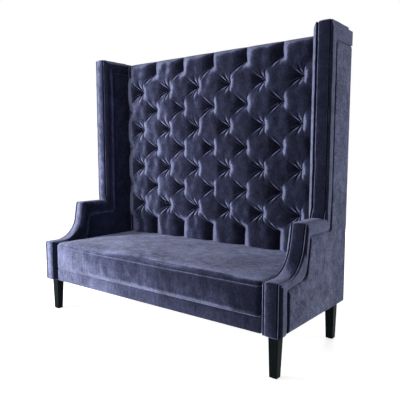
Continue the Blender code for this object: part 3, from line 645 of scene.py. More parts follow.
def strip_shift(x, z):
    """How far the seams move outwards at a height, and the strip and the roundings beside them in proportion."""
    places = (INNER_FACE, LEFT_SEAM, RIGHT_SEAM, OUTER_FACE)
    return np.interp(x, places, (0.0, INNER_SHIFT, OUTER_SHIFT, 0.0)) * wing_share(z)


def swollen_outline(share, drop, swell, low=BASE_HEIGHT, end=BORDER_END, groove=OUTER_GROOVE):
    """An edge line that swells outwards, less so on the wing."""
    full = outline(share, drop - swell, low, end, groove)
    if not swell:
        return full
    flat = outline(share, drop - WING_SWELL * swell, low, end, groove)
    return full + (flat - full) * wing_share(full[:, 1:2])


def border(side):
    """A side's padded border: its section swept round the outline, from the foot of the post to the wing's end."""
    section = border_section()
    xs, shares = np.array(section).T[:2]
    grooves = [INNER_GROOVE if x < MIDDLE else OUTER_GROOVE for x in xs]
    lines = [swollen_outline(*row[1:], groove=groove) for row, groove in zip(section, grooves)]
    stations = np.stack(lines, axis=1)
    count, width = stations.shape[:2]
    points = np.dstack((np.tile(xs, (count, 1)), stations))
    shown = np.arange(width) < width - 4
    for ring, depth in zip(points, FOOT_RINGS):
        inward = rounded_in(depth, FOOT_ROUNDING) * shown
        ring[:, 0] -= np.sign(xs - MIDDLE) * inward * clamp(shares * FOOT_SPREAD + FOOT_LEAST)
        ring[:, 1] += inward * (1 - shares)
        ring[:, 2] = BASE_HEIGHT + depth
    # Under the arm the inner band dips more steeply into its groove
    ahead = unit(np.gradient(stations[:, 0], axis=0))
    level = clamp(ahead[:, :1]) ** LEVEL_POWER * (stations[:, :1, 1] < ARM_HEIGHT)
    apart = np.linalg.norm(stations - stations[:, :1], axis=2)
    banded = shown & (xs < MIDDLE) & (shares > INNER_BEND)
    points[:, :, 0] += ARM_ROLL * level * falloff(apart / ARM_ROLL_REACH) * banded
    points[:, :, 0] += strip_shift(points[:, :, 0], points[:, :, 2]) * shown
    points[:, :, 0] *= side
    name = f"side_border_{SIDES[side]}"
    obj = make_object(name, splayed(points.reshape(-1, 3)), tube_faces(count, width), VELVET)
    # Painted shade: beyond the outer seam, along the upright runs, the cloth gets the darker velvet for the shade of
    # the slit and the rounding
    obj.data.materials.append(VELVET_SHADE)
    shade_band = (xs > RIGHT_SEAM + OUTER_LIP - 0.0001) & (shares < SHADE_SHARE)
    upright = np.abs(unit(np.gradient(stations[:, np.argmax(xs)], axis=0))[:, 1]) > SHADE_UPRIGHT
    dark = (upright[:, None] & shade_band).ravel()
    for polygon in obj.data.polygons:
        polygon.material_index = int(dark[list(polygon.vertices)].all())
    # Padding under cloth moves a surface in and out by a fraction of a millimetre
    start = read_points(obj.data)
    amplitude, *lengths = BORDER_WAVE
    wave = amplitude * Waves(31 + side, *lengths)(start)
    set_points(obj, start + read_points(obj.data, "normal") * wave[:, None])
    obj.data.set_sharp_from_angle(angle=SHARP_ANGLES["border"])
    settle(obj, f"border_{SIDES[side]}")
    seam_stitches(side, RIGHT_SEAM - HEM_WIDTH)


# Stitches

STITCH_PITCH = 0.0052
STITCH_LIFT = 0.15
STITCH_SIDES = 6
# Rings of a stitch: place along its length, swell and dip
STITCH_RINGS = ((-0.5, 0.25, -0.9), (-0.36, 0.85, 0.0), (0.36, 0.85, 0.0), (0.5, 0.25, -0.9))
# Where a border's stitches start and end
STITCH_START = BASE_HEIGHT + 0.012
STITCH_END = BORDER_END - 0.003


def stitch_line(name, line, outward, length, radius):
    """A row of thread stitches along a line. outward holds the surface direction at each point."""
    walked = np.concatenate(([0.0], np.cumsum(np.linalg.norm(np.diff(line, axis=0), axis=1))))
    places = np.arange(STITCH_PITCH / 2, walked[-1], STITCH_PITCH)

    def sampled(values, at):
        return np.stack([np.interp(at, walked, column) for column in values.T], axis=1)

    centre, up = sampled(line, places), sampled(outward, places)
    along = sampled(line, places + length / 2) - centre
    good = np.linalg.norm(along, axis=1) > 1e-6
    centre, along, up = centre[good], unit(along[good]), up[good]
    up = unit(up - along * np.sum(up * along, axis=1)[:, None])
    axes = np.stack((along, np.cross(along, up), up), axis=1)
    template = []
    for place, swell, dip in STITCH_RINGS:
        for angle in 2 * math.pi * np.arange(STITCH_SIDES) / STITCH_SIDES:
            lift = swell * math.sin(angle) + dip + STITCH_LIFT
            template.append((place * length, radius * swell * math.cos(angle), radius * lift))
    points = centre[:, None] + np.array(template) @ axes
    shape = tube_faces(len(STITCH_RINGS), STITCH_SIDES)
    size = len(template)
    faces = [tuple(v + i * size for v in face) for i in range(len(centre)) for face in shape]
    settle(make_object(name, points.reshape(-1, 3), faces, THREAD), None)


def seam_stitches(side, x):
    path = swollen_outline(0.0, -0.0001, crown(x), STITCH_START, STITCH_END)
    line = splayed(np.column_stack((side * (x + strip_shift(x, path[:, 1])), path)))
    tangent = np.gradient(path, axis=0)
    outward = np.column_stack((np.zeros(len(path)), -tangent[:, 1], tangent[:, 0]))
    stitch_line(f"border_stitches_{SIDES[side]}", line, outward, length=0.0040, radius=0.00042)


# Padded panels

PANEL_WAVE = (0.0005, 0.06, 0.3)
PANEL_CALM = 0.03
SHADE_FACING = 0.85


def line_distance(points, loop):
    """Distance of each point to a closed line, in the plane."""
    best = np.full(len(points), np.inf)
    for a, b in zip(loop, np.roll(loop, -1, axis=0)):
        run = b - a
        size = float(run @ run)
        if size > 1e-14:
            near = a + clamp(((points - a) @ run) / size)[:, None] * run
            best = np.minimum(best, np.linalg.norm(points - near, axis=1))
    return best


def panel(
    name, node, loop_at, to_space, thickness, edge, bulge, seed,
    turn=None, rise=0.07, cell=0.028, material=VELVET, shade_depth=None,
):
    """A padded panel. loop_at(inset) is its edge line in its own plane, and to_space puts plane and height in place.

    Its edge is edge deep and turn wide. The bulge is full at a distance of rise from it.
    """
    turn = turn or edge
    rings = [(0.0, 0.0), (0.0, thickness - edge)]
    rings += [(turn * (1 - math.cos(a)), thickness - edge * (1 - math.sin(a))) for a in quarter(8)[1:]]
    bm = bmesh.new()
    made = [[bm.verts.new((*p, height)) for p in loop_at(inset)] for inset, height in rings]
    for lower, upper in zip(made, made[1:]):
        for quad in zip(lower, lower[1:] + lower[:1], upper[1:] + upper[:1], upper):
            bm.faces.new(quad)
    bm.faces.new(made[0][::-1])
    bm.faces.new(made[-1])
    loop = np.array(loop_at(rings[-1][0]))
    for low, high, normal in zip(loop.min(axis=0), loop.max(axis=0), (Vector((1, 0, 0)), Vector((0, 1, 0)))):
        steps = max(int((high - low) / cell), 2)
        for k in range(1, steps):
            geometry = bm.verts[:] + bm.edges[:] + bm.faces[:]
            place = normal * (low + (high - low) * k / steps)
            bmesh.ops.bisect_plane(bm, geom=geometry, dist=1e-7, plane_co=place, plane_no=normal)
    flat = np.array([v.co[:] for v in bm.verts])
    top = flat[:, 2] > thickness - 1e-7
    apart = line_distance(flat[top, :2], loop)
    amplitude, *lengths = PANEL_WAVE
    wave = amplitude * Waves(seed, *lengths)(flat[top]) * clamp(apart / PANEL_CALM)
    flat[top, 2] += bulge * np.sin(np.pi / 2 * clamp(apart / rise)) + wave
    for vertex, point in zip(bm.verts, splayed(to_space(flat))):
        vertex.co = point
    obj = skinned(name, bpy.data.meshes.new(name), bm, material)
    obj.data.set_sharp_from_angle(angle=SHARP_ANGLES["panel"])
    if shade_depth is not None:
        # Down in the upright runs of the groove ahead of the panel the cloth gets the darker velvet: painted shade in
        # the groove
        obj.data.materials.append(VELVET_SHADE)
        deep = flat[:, 2] < thickness - shade_depth * edge
        for polygon in obj.data.polygons:
            _, back, up = polygon.normal
            size = math.hypot(back, up)
            ahead = size > 0.02 and back < -SHADE_FACING * size
            polygon.material_index = int(ahead and deep[list(polygon.vertices)].all())
    settle(obj, node)


def side_loop(low, end, groove, rear_share=1.0):
    """Edge line of a side panel at an inset: inside the groove, then down the rear and along the bottom."""

    def loop(inset):
        rear = inset * rear_share
        path = outline(1.0, FIT + inset, low + rear, end - rear, groove)
        keep = [path[0]]
        for point in path[1:]:
            if np.linalg.norm(point - keep[-1]) > 1e-6:
                keep.append(point)
        return [tuple(p) for p in keep] + [(end - rear, low + rear)]

    return loop


def rectangle_loop(left, low, right, high, corner=0.004, steps=4):
    def loop(inset):
        points = []
        for x, y, start in ((right, high, 0), (left, high, 90), (left, low, 180), (right, low, 270)):
            cx = x - math.copysign(corner + inset, x - (left + right) / 2)
            cy = y - math.copysign(corner + inset, y - (low + high) / 2)
            angles = math.radians(start) + quarter(steps)
            points += [(cx + corner * math.cos(a), cy + corner * math.sin(a)) for a in angles]
        return points

    return loop


def side_panels(side):
    def onto(hidden, way):
        return lambda flat: np.column_stack((side * (hidden + way * flat[:, 2]), flat[:, :2]))

    inner = (onto(INNER_FACE + PADDING, -1), PADDING - INNER_STEP)
    panel(
        f"inner_side_{SIDES[side]}",
        f"inner_panel_{SIDES[side]}",
        side_loop(SEAT_SPLIT + FIT, PAD_BACK - FIT, INNER_GROOVE),
        *inner, edge=0.0024, bulge=0.0012, seed=5 + side, turn=0.018,
    )
    # Behind the border's end the wing's inner side is lined down to the panel
    low, high = SIDE_HEIGHT - TOP_BAND + FIT, SIDE_HEIGHT - EDGE_PADDING - 0.001
    panel(
        f"wing_lining_{SIDES[side]}",
        None,
        rectangle_loop(BORDER_END + FIT, low, PAD_BACK - FIT, high),
        *inner, edge=0.003, bulge=0.0006, seed=13 + side, rise=0.01,
    )
    panel(
        # The outer panel's velvet is painted lighter face on, with painted shade down in its groove
        f"outer_side_{SIDES[side]}",
        f"outer_panel_{SIDES[side]}",
        side_loop(BASE_HEIGHT, REAR, OUTER_GROOVE, rear_share=0.45),
        onto(OUTER_FACE - PADDING, 1),
        PADDING - OUTER_STEP,
        edge=0.0135, bulge=0.0022, seed=9 + side, turn=0.036, material=VELVET_OUTER_LIT, shade_depth=0.15,
    )


def flat_panels():
    """The front rail's cover and the outside back."""

    def facing(flat):
        return np.column_stack((flat[:, 0], RAIL_FRONT + RAIL_DEPTH - flat[:, 2], flat[:, 1]))

    def behind(flat):
        return np.column_stack((flat[:, 0], REAR_POST_BACK + FIT + flat[:, 2], flat[:, 1]))

    short, reach = INNER_FACE - FIT, OUTER_FACE - PADDING - FIT
    panel(
        "rail_facing",
        "rail_cover",
        rectangle_loop(-short, BASE_HEIGHT, short, SEAT_SPLIT - FIT, corner=0.010),
        facing, RAIL_DEPTH, edge=0.003, bulge=0.0008, seed=21, rise=0.03, material=VELVET_SEAT,
    )
    # The outer back's velvet is painted lighter face on
    panel(
        "outer_back",
        "outside_back",
        rectangle_loop(-reach, BASE_HEIGHT, reach, BACK_HEIGHT),
        behind, 0.0115, edge=0.006, bulge=0.0015, seed=23, cell=0.05, material=VELVET_OUTER_LIT,
    )


CAP_ROUNDING = 0.011
CAP_CROWN = 0.0008
CAP_EDGE = 0.006
CAP_EDGE_RINGS = (0.0, 0.0005, 0.0015, 0.003, CAP_EDGE)
CAP_FRONT_SHARE = 0.6
# The cap's ends are drawn in beyond this half width, and above this depth below its top
CAP_CORE = 0.02
CAP_SHOULDER = 0.012


def wing_cap(side):
    """The padded cap behind the border's end: top, outer wall and a short inner lip, in one bent section."""
    inner, outer = INNER_FACE + INNER_STEP, OUTER_FACE - OUTER_STEP
    low, under = SIDE_HEIGHT - TOP_BAND + FIT, SIDE_HEIGHT - EDGE_PADDING + 0.0008
    wall, radius, lip = OUTER_FACE - PADDING, CAP_ROUNDING, CAP_HEIGHT - under
    turns = [(1 - math.cos(a), 1 - math.sin(a)) for a in quarter(6)]
    section = [(outer, z) for z in np.linspace(low, CAP_HEIGHT - radius, 9)[:-1]]
    section += [(outer - radius * c, CAP_HEIGHT - radius * s) for c, s in turns]
    for x in np.linspace(outer - radius, inner + radius, 12)[1:-1]:
        section.append((x, CAP_HEIGHT + CAP_CROWN * math.sin(math.pi * (x - inner) / (outer - inner))))
    section += [(inner + radius * s, CAP_HEIGHT - lip * c) for c, s in turns]
    shown = len(section)
    section += [(wall, under), (wall, low)]
    middle = (inner + outer) / 2
    start = BORDER_END + FIT
    places = [(start + d, rounded_in(d, CAP_EDGE) * CAP_FRONT_SHARE) for d in CAP_EDGE_RINGS]
    places += [(y, 0.0) for y in np.linspace(start + CAP_EDGE, REAR - CAP_EDGE, 9)[1:-1]]
    places += [(REAR - d, rounded_in(d, CAP_EDGE)) for d in reversed(CAP_EDGE_RINGS)]
    points = []
    for y, inward in places:
        for k, (x, z) in enumerate(section):
            if k < shown:
                away = x - middle
                x -= math.copysign(min(inward, abs(away)), away) * (abs(away) > CAP_CORE)
                z -= inward * (z > CAP_HEIGHT - CAP_SHOULDER)
            points.append((side * x, y, z))
    faces = tube_faces(len(places), len(section))
    obj = make_object(f"cap_cover_{SIDES[side]}", splayed(points), faces, VELVET)
    obj.data.set_sharp_from_angle(angle=SHARP_ANGLES["cap"])
    settle(obj, f"wing_cap_{SIDES[side]}")


# Seat

SEAT_FRONT = FRONT + 0.006
SEAT_HALF = INNER_FACE - 0.001
SEAT_BACK = PAD_BACK - FIT
SEAT_BACK_ROLL = 0.006
SEAT_CROWN = 0.013
SEAT_CROWN_RUN = 0.036
SEAT_SEAM = SEAT_HEIGHT - 0.0255
# The upright roll from just above the seam onto the top, and the roll at the foot of the front
SEAT_ROLL = 0.015
SEAT_ROLL_START = SEAT_SEAM + 0.0050
SEAT_ROLL_POWER = 1.10
SEAT_FOOT_ROLL = 0.012
# How far the front bulges, and which share of that is left at the seam and at the foot
SEAT_BULGE = 0.013
SEAM_SHARE = 0.30
FOOT_SHARE = 0.40
# Shares of the front's height at which the bulge is full and at which it falls off again
SWELL_START = 0.16
SWELL_END = 0.50
SWELL_POWER = 1.6
FRONT_TOP = SEAT_SEAM - 0.004
# Rings of the seam's ledge: height from the seam and inset
SEAM_LEDGE = (
    (-0.0026, 0.0), (-0.0014, 0.0002), (-0.0008, 0.0012), (-0.0002, 0.0027),
    (0.0008, 0.0026), (0.0022, 0.0008), (0.0040, 0.0001),
)
SEAT_CORNER = 0.026
SEAT_STITCH_DROP = 0.0030
CORNER_CUTS = 7
LONG_CUTS = 120
SHORT_CUTS = 44
TOP_RINGS = 26
CROWNED_FROM = 0.012
# Unevenness of the seat: amplitudes of its broad and its fine waves on top and in front
TOP_WAVES = (0.0014, 0.0005)
FRONT_WAVES = (0.0010, 0.0005)


def seat_top(x, y):
    """Height of the crowned seat."""
    across = 1 - np.minimum(np.abs(x) / SEAT_HALF, 1) ** 4
    return SEAT_HEIGHT + SEAT_CROWN * across * np.sin(np.pi / 2 * clamp((y - SEAT_FRONT) / SEAT_CROWN_RUN))


def seat_ring(half, front, back):
    """A rectangle with rounded corners and even cuts, seen from above."""
    right, rear, near = half - SEAT_CORNER, back - SEAT_CORNER, front + SEAT_CORNER
    corners = ((right, rear), (-right, rear), (-right, near), (right, near))
    points = []
    for number, corner in enumerate(corners):
        turns = np.radians(90 * number) + quarter(CORNER_CUTS)
        arc = np.array(corner) + SEAT_CORNER * np.column_stack((np.cos(turns), np.sin(turns)))
        reach = np.array(corners[(number + 1) % 4]) - corner
        cuts = LONG_CUTS if number in (0, 2) else SHORT_CUTS
        points += [arc, arc[-1] + reach * (np.arange(1, cuts) / cuts)[:, None]]
    return np.concatenate(points)


def zipped_cap(offset, width):
    """Closes the long narrow ring in the middle of the seat's top with quads from its front edge to its rear one."""
    rear = [offset + CORNER_CUTS + k for k in range(LONG_CUTS + 1)]
    start = offset + 3 * CORNER_CUTS + LONG_CUTS + SHORT_CUTS
    front = [start + LONG_CUTS - k for k in range(LONG_CUTS + 1)]
    faces = [(rear[k], rear[k + 1], front[k + 1], front[k]) for k in range(LONG_CUTS)]
    right = [offset + (front[0] - offset + k) % width for k in range(width - (front[0] - rear[0]) + 1)]
    return faces + [tuple(range(rear[-1], front[-1] + 1)), tuple(right)]


def seat():
    rings = []

    def add(z, inset, bulge):
        back = SEAT_BACK - min(inset, SEAT_BACK_ROLL)
        ring = seat_ring(SEAT_HALF - inset, SEAT_FRONT + inset, back)
        front_weight = clamp((SEAT_FRONT + 0.05 - ring[:, 1]) / 0.05)
        ends = 1 - clamp(np.abs(ring[:, 0]) / SEAT_HALF) ** 8
        ring[:, 1] -= SEAT_BULGE * bulge * front_weight * ends
        rings.append(np.column_stack((ring, np.full(len(ring), z))))

    for a in quarter(6):
        rise, inset = SEAT_FOOT_ROLL * (1 - math.cos(a)), SEAT_FOOT_ROLL * (1 - math.sin(a))
        add(SEAT_SPLIT + rise, inset, FOOT_SHARE * math.sin(a))
    for t in np.linspace(0, 1, 24)[1:]:
        z = SEAT_SPLIT + SEAT_FOOT_ROLL + (FRONT_TOP - SEAT_SPLIT - SEAT_FOOT_ROLL) * t
        foot, seam = max(1 - t / SWELL_START, 0), max(t - SWELL_END, 0) / (1 - SWELL_END)
        add(z, 0.0, 1 - (1 - FOOT_SHARE) * foot**2 - (1 - SEAM_SHARE) * seam**SWELL_POWER)
    for z, inset in SEAM_LEDGE:
        add(SEAT_SEAM + z, inset, SEAM_SHARE)
    for a in quarter(12)[1:]:
        rise = (SEAT_HEIGHT - SEAT_ROLL_START) * math.sin(a) ** SEAT_ROLL_POWER
        inset = SEAT_ROLL * (1 - math.cos(a) ** SEAT_ROLL_POWER)
        add(SEAT_ROLL_START + rise, inset, SEAM_SHARE * math.cos(a))
    front, back = SEAT_FRONT + SEAT_ROLL, SEAT_BACK - SEAT_BACK_ROLL
    deepest = (back - front) / 2 - SEAT_CORNER - 0.003
    for reach in deepest * (np.arange(1, TOP_RINGS + 1) / TOP_RINGS) ** 1.1:
        ring = seat_ring(SEAT_HALF - SEAT_ROLL - reach, front + reach, back - reach)
        rings.append(np.column_stack((ring, np.full(len(ring), SEAT_HEIGHT))))
    points = np.concatenate(rings)
    share = clamp((points[:, 2] - SEAT_HEIGHT + CROWNED_FROM) / CROWNED_FROM)
    points[:, 2] += share * (seat_top(points[:, 0], points[:, 1]) - SEAT_HEIGHT)
    width = len(rings[0])
    faces = grid_faces(len(rings), width, wrap=True) + [tuple(range(width))]
    faces += zipped_cap(len(points) - width, width)
    obj = make_object("seat_pad", splayed(points), faces, VELVET_SEAT)
    soften_seat(obj)
    inflate(obj, seat_freedom)
    settle(obj, "seat_cushion")
    seat_stitches(obj)


def soften_seat(obj):
    """Gentle hollows and rises of a sat-on seat, and a little unevenness in its front."""
    points = read_points(obj.data)
    broad, fine = Waves(61, 0.25, 0.7), Waves(62, 0.05, 0.16)

    def unevenness(waves):
        return waves[0] * broad(points) + waves[1] * fine(points)

    inside = SEAT_HALF - np.abs(points[:, 0])
    top = clamp((points[:, 2] - SEAT_HEIGHT + 0.004) / 0.006)
    clear = clamp(inside / 0.05) * clamp((PAD_BACK - 0.055 - points[:, 1]) / 0.1)
    points[:, 2] += top * clear * unevenness(TOP_WAVES)
    front = clamp((SEAT_FRONT + 0.004 - points[:, 1]) / 0.006) * (1 - top)
    points[:, 1] += front * clamp(inside / 0.03) * unevenness(FRONT_WAVES)
    set_points(obj, points)


def seat_freedom(points):
    """How free the seat's cover is to move: 1 on the open top and front, 0 where it is sewn, held or sat against."""
    x, y, z = points.T
    top = clamp((z - SEAT_HEIGHT + 0.008) / 0.008)
    front = clamp((SEAT_FRONT + 0.010 - y) / 0.008) * clamp((z - SEAT_SPLIT - 0.004) / 0.020)
    front = front * clamp((np.abs(z - SEAT_SEAM) - 0.003) / 0.012)
    ends = clamp((SEAT_HALF - 0.004 - np.abs(x)) / 0.030)
    return np.maximum(top, front) * ends * clamp((FRONT + 0.636 - y) / 0.080)


def inflate(obj, freedom, voxel=0.011, pressure=4.0, frames=20, cap=0.006):
    """Swells a pad's cover: a coarse copy runs through a cloth simulation, and the pad's points follow it."""
    cover = add_object("cover", obj.data.copy())
    remesh = cover.modifiers.new("remesh", "REMESH")
    remesh.mode = "VOXEL"
    remesh.voxel_size = voxel
    depsgraph = bpy.context.evaluated_depsgraph_get()
    coarse = bpy.data.meshes.new_from_object(cover.evaluated_get(depsgraph))
    cover.modifiers.clear()
    cover.data = coarse
    start = read_points(coarse)
    held = cover.vertex_groups.new(name="held")
    for index, share in enumerate(1 - freedom(start)):
        held.add([index], float(share), "REPLACE")
    modifier = cover.modifiers.new("cover", "CLOTH")
    cloth = modifier.settings
    cloth.quality = 5
    cloth.mass = 0.3
    cloth.use_pressure = True
    cloth.uniform_pressure_force = pressure
    cloth.effector_weights.gravity = 0.0
    cloth.vertex_group_mass = "held"
    cloth.pin_stiffness = 1.0
    modifier.collision_settings.use_collision = False
    for number in range(1, frames + 1):
        SCENE.frame_set(number)
    swollen = cover.evaluated_get(bpy.context.evaluated_depsgraph_get()).to_mesh()
    moved = read_points(swollen) - start
    moved *= cap / np.percentile(np.linalg.norm(moved, axis=1), 99)
    tree = KDTree(len(start))
    for index, point in enumerate(start):
        tree.insert(point, index)
    tree.balance()
    points = read_points(obj.data)
    share = freedom(points)
    for index in np.nonzero(share > 0.001)[0]:
        near = tree.find_n(points[index], 6)
        weights = np.array([1 / (distance + 0.002) ** 2 for _, _, distance in near])
        step = weights @ moved[[k for _, k, _ in near]] / weights.sum()
        points[index] += step * share[index]
    set_points(obj, points)
    SCENE.frame_set(1)
    bpy.data.objects.remove(cover)


def seat_stitches(obj):
    """The topstitched line along the seat's front, on the cloth's own surface."""
    half = SEAT_HALF - 0.02
    line = []
    # The ray meets the evaluated mesh, which has to be up to date
    bpy.context.evaluated_depsgraph_get()
    for x in np.linspace(-half, half, 260):
        start = Vector((x, SEAT_FRONT - 0.1, SEAT_SEAM - SEAT_STITCH_DROP))
        hit, place, normal, _ = obj.ray_cast(start, Vector((0, 1, 0)))
        if hit:
            line.append((*place, *normal))
    line = np.array(line)
    stitch_line("seat_stitches", line[:, :3], line[:, 3:], length=0.0049, radius=0.00055)


# Tufted back

TUFT_PITCH = 0.256
TUFT_ROW_PITCH = 0.1341
ROWS_START = 1.491
TOP_ROW_RISE = 0.1225
BOTTOM_ROW_DROP = 0.105
TUFT_COLUMNS = 6
TUFT_ROWS = 8
TUFT_DEPTH = 0.687
PUFF = 0.045
# The puffs: lean to the right, change of side, filling of the pleats, and steepness of creases and walls
LEAN = 0.035
LEAN_EASE = 0.05
SIDE_CHANGE = 3.0
PLEAT_FILL = 0.38
CREASE_LEFT = 1.6
CREASE_RIGHT = 1.1
WALL_LEFT = 2.2
WALL_RIGHT = 2.4
# How far the pits lie off their lattice
TUFT_SHIFT = 0.0075
TUFT_DRAW = 0.015
SIDE_TUFT_SHIFT = 0.016
# The pad's sides, where the padding is calmer and rolls back against the wings
SIDE_TUFT_SHARE = 0.85
SIDE_ROLL = 0.020
SIDE_SLOPE = 0.070
SIDE_FALL = 0.030
DEEPEST = -0.009
# The upright channels: depth of their pleats, steepness, and how soon they take over from the puffs
CHANNEL_PLEAT = 0.16
CHANNEL_WALL = 2.2
CHANNEL_BLEND = 0.030
# Creases of an odd-row tuft and of an even-row one: angle from the right, length, width and depth
FAN = (
    (14, 0.036, 0.0040, 0.0034),
    (38, 0.040, 0.0040, 0.0042),
    (63, 0.056, 0.0044, 0.0066),
    (106, 0.054, 0.0046, 0.0064),
    (142, 0.072, 0.0040, 0.0078),
    (159, 0.056, 0.0030, 0.0036),
)
PAIR = (
    (20, 0.030, 0.0036, 0.0014),
    (139, 0.078, 0.0040, 0.0084),
    (153, 0.062, 0.0030, 0.0038),
)
# How far the creases reach at most, how soon they are deep, and by how much they differ
TUFT_REACH = 0.13
CREASE_START = 0.006
ANGLE_SPREAD = (-4, 4)
LENGTH_SPREAD = (0.88, 1.12)
DEPTH_SPREAD = (0.85, 1.15)
# How much wider than its left side a crease's right side is, and where and how high its soft ridges stand
CREASE_SLOPE = 0.4
RIDGE_PLACE = 1.9
RIDGE_SHARE = 0.42
# Fold through an even-row tuft: reach up and down, width of its right and left side, depth, lean to the right
FOLD = (0.054, 0.026, 0.005, 0.0070, 0.56)
# Hollow on the right of each tuft: depth, radius and softness of its edge
HOLLOW = (0.0085, 0.036, 0.006)
# Notch between each side tuft and its wing: depth, reach up and down, softness of its wall
NOTCH = (0.020, 0.048, 0.012)
# Folds beyond the outermost odd rows: depth, width, widening, and reach to the top and to the foot
MID_FOLD = (0.0026, 0.018, 0.08, (0.19, 0.20))
# Unevenness of the padding: amplitude, seed, shortest and longest wave
BACK_WAVES = ((0.0010, 71, 0.05, 0.14), (0.0018, 72, 0.2, 0.5))
BACK_ROLL = 0.050
BACK_CREST = 0.004
BACK_LIP = 0.010
BACK_EDGE = 0.002
PAD_HALF = INNER_FACE - 0.0008
# The foot of the pad: its gap over the seat, and the least step between its lowest rows
FOOT_GAP = 0.0006
FOOT_STEP = 0.0004
FOOT_ROWS = 12
# Cells across and up, crowded round the tufts
BACK_CELLS = (520, 400)
CROWDING = (1.6, 1.3)
CROWDED_WIDTH = 0.022


def row_height(row):
    if row < 1:
        return ROWS_START + TOP_ROW_RISE * (1 - row)
    if row > TUFT_ROWS - 1:
        return ROWS_START - TUFT_ROW_PITCH * (TUFT_ROWS - 2) - BOTTOM_ROW_DROP * (row - TUFT_ROWS + 1)
    return ROWS_START - TUFT_ROW_PITCH * (row - 1)


ROW_HEIGHTS = np.array([row_height(r) for r in range(TUFT_ROWS + 1)])


def domes(column, row):
    """Height of the puffs: flat-topped, with pits whose right wall is steep and whose left one is long."""
    s, t = column + row / 2, column - row / 2
    lean = LEAN * (np.hypot(np.sin(np.pi * np.mod(s + t, 1.0)), LEAN_EASE) - LEAN_EASE)
    right = soft_step(SIDE_CHANGE * np.sin(2 * np.pi * (s + t)))
    a, b = np.abs(np.sin(np.pi * (s + lean))), np.abs(np.sin(np.pi * (t + lean)))
    power = CREASE_LEFT + (CREASE_RIGHT - CREASE_LEFT) * right
    fill_a, fill_b = PLEAT_FILL * b**power, PLEAT_FILL * a**power
    a, b = (np.hypot(v, f) / np.sqrt(1 + f * f) for v, f in ((a, fill_a), (b, fill_b)))
    return 1 - (1 - (a + b) / 2) ** (WALL_LEFT + (WALL_RIGHT - WALL_LEFT) * right)


def channels(column, away):
    """Height of the upright channels beyond the outermost tuft rows."""
    profile = domes(column, 0.0)
    wall = 1 - (1 - np.abs(np.sin(np.pi * column))) ** CHANNEL_WALL
    channel = CHANNEL_PLEAT + (1 - CHANNEL_PLEAT) * wall
    return profile + (channel - profile) * (1 - falloff(away / CHANNEL_BLEND))


def shifted(x):
    """Place across of a tuft that the lattice puts at x: the pits between the sides lie a little off it."""
    edge = TUFT_PITCH * TUFT_COLUMNS / 2
    inner = clamp((edge - np.abs(x)) / (TUFT_PITCH / 2))
    return x + inner * (TUFT_SHIFT - TUFT_DRAW * x) - (1 - inner) * SIDE_TUFT_SHIFT * np.sign(x)


def ray(lx, lz, angle, length, width, depth):
    """One crease from a tuft, deepest near it, between two soft ridges."""
    ahead = np.clip(lx * math.cos(angle) + lz * math.sin(angle), 0, None)
    beside = lz * math.cos(angle) - lx * math.sin(angle)
    spread = width * (0.5 + ahead / length) * (1 - CREASE_SLOPE * math.sin(angle) * np.sign(beside))
    fade = clamp(ahead / CREASE_START) * falloff(ahead / length, 3)
    ridges = falloff((np.abs(beside) - RIDGE_PLACE * spread) / spread)
    return -depth * fade * (falloff(beside / spread, 1.5) - RIDGE_SHARE * ridges)


def fold(lx, lz):
    """The upright fold that runs through a tuft, with a wide slope on its right side."""
    reach, right, left, depth, lean = FOLD
    lx = lx - lean * np.abs(lz)
    wall = np.where(lx > 0, 1 - np.sin(np.pi / 2 * clamp(lx / right)), falloff(lx / left))
    return -depth * wall * falloff(lz / reach, 3)


def hollow(lx, lz):
    """The shallow hollow on the right of a tuft, where the cloth is drawn in."""
    depth, radius, soft = HOLLOW
    return -depth * soft_step(lx / soft) * falloff(np.hypot(lx, lz) / radius)


def notch(lx, lz):
    """The place beside a side tuft where the pad draws back from the wing."""
    depth, reach, soft = NOTCH
    return -depth * soft_step(-lx / soft) * falloff(lz / reach, 3)


def gathers(x, z):
    """Creases that run out from each tuft. Odd rows gather in fans, even rows in two crisp pleats."""
    total = np.zeros_like(x)
    rng = np.random.default_rng(11)
    outermost = TUFT_PITCH * (TUFT_COLUMNS / 2 - 0.25)
    reach = TUFT_COLUMNS // 2
    for row, tz in enumerate(ROW_HEIGHTS):
        between = 0 < row < TUFT_ROWS
        for tx in shifted(TUFT_PITCH * np.arange(row % 2 / 2 - reach, reach + 0.01)):
            dx, dz = x - tx, z - tz
            near = (np.abs(dx) < TUFT_REACH) & (np.abs(dz) < TUFT_REACH)
            lx, lz = dx[near], dz[near]
            here = np.zeros(len(lx))
            for base, length, width, depth in FAN if row % 2 else PAIR:
                for sign in (1, -1):
                    angle = math.radians(base + rng.uniform(*ANGLE_SPREAD)) * sign
                    long, deep = length * rng.uniform(*LENGTH_SPREAD), depth * rng.uniform(*DEPTH_SPREAD)
                    beyond = row == (0 if sign > 0 else TUFT_ROWS)
                    if not (beyond or (abs(tx) > outermost and base > 100)):
                        here += ray(lx, lz, angle, long, width, deep)
            if between and tx < outermost:
                here += hollow(lx, lz)
                if row % 2 == 0:
                    here += fold(lx, lz)
            if between and abs(tx) > outermost:
                here += notch(-lx * np.sign(tx), lz)
            total[near] += here
    return total


def mid_folds(x, z):
    """Soft upright folds from the outermost odd rows to the top and the foot of the pad."""
    depth, width, widening, reaches = MID_FOLD
    beside = (((x - TUFT_SHIFT) / TUFT_PITCH) % 1 - 0.5) * TUFT_PITCH
    near = np.abs(x) < TUFT_PITCH * TUFT_COLUMNS / 2
    total = 0.0
    for away, far in zip((z - ROW_HEIGHTS[1], ROW_HEIGHTS[-2] - z), reaches):
        away = np.clip(away, 0, None)
        fade = clamp(away / 0.02) * falloff(away / far)
        total = total - near * depth * fade * falloff(beside / (width + away * widening), 1.8)
    return total


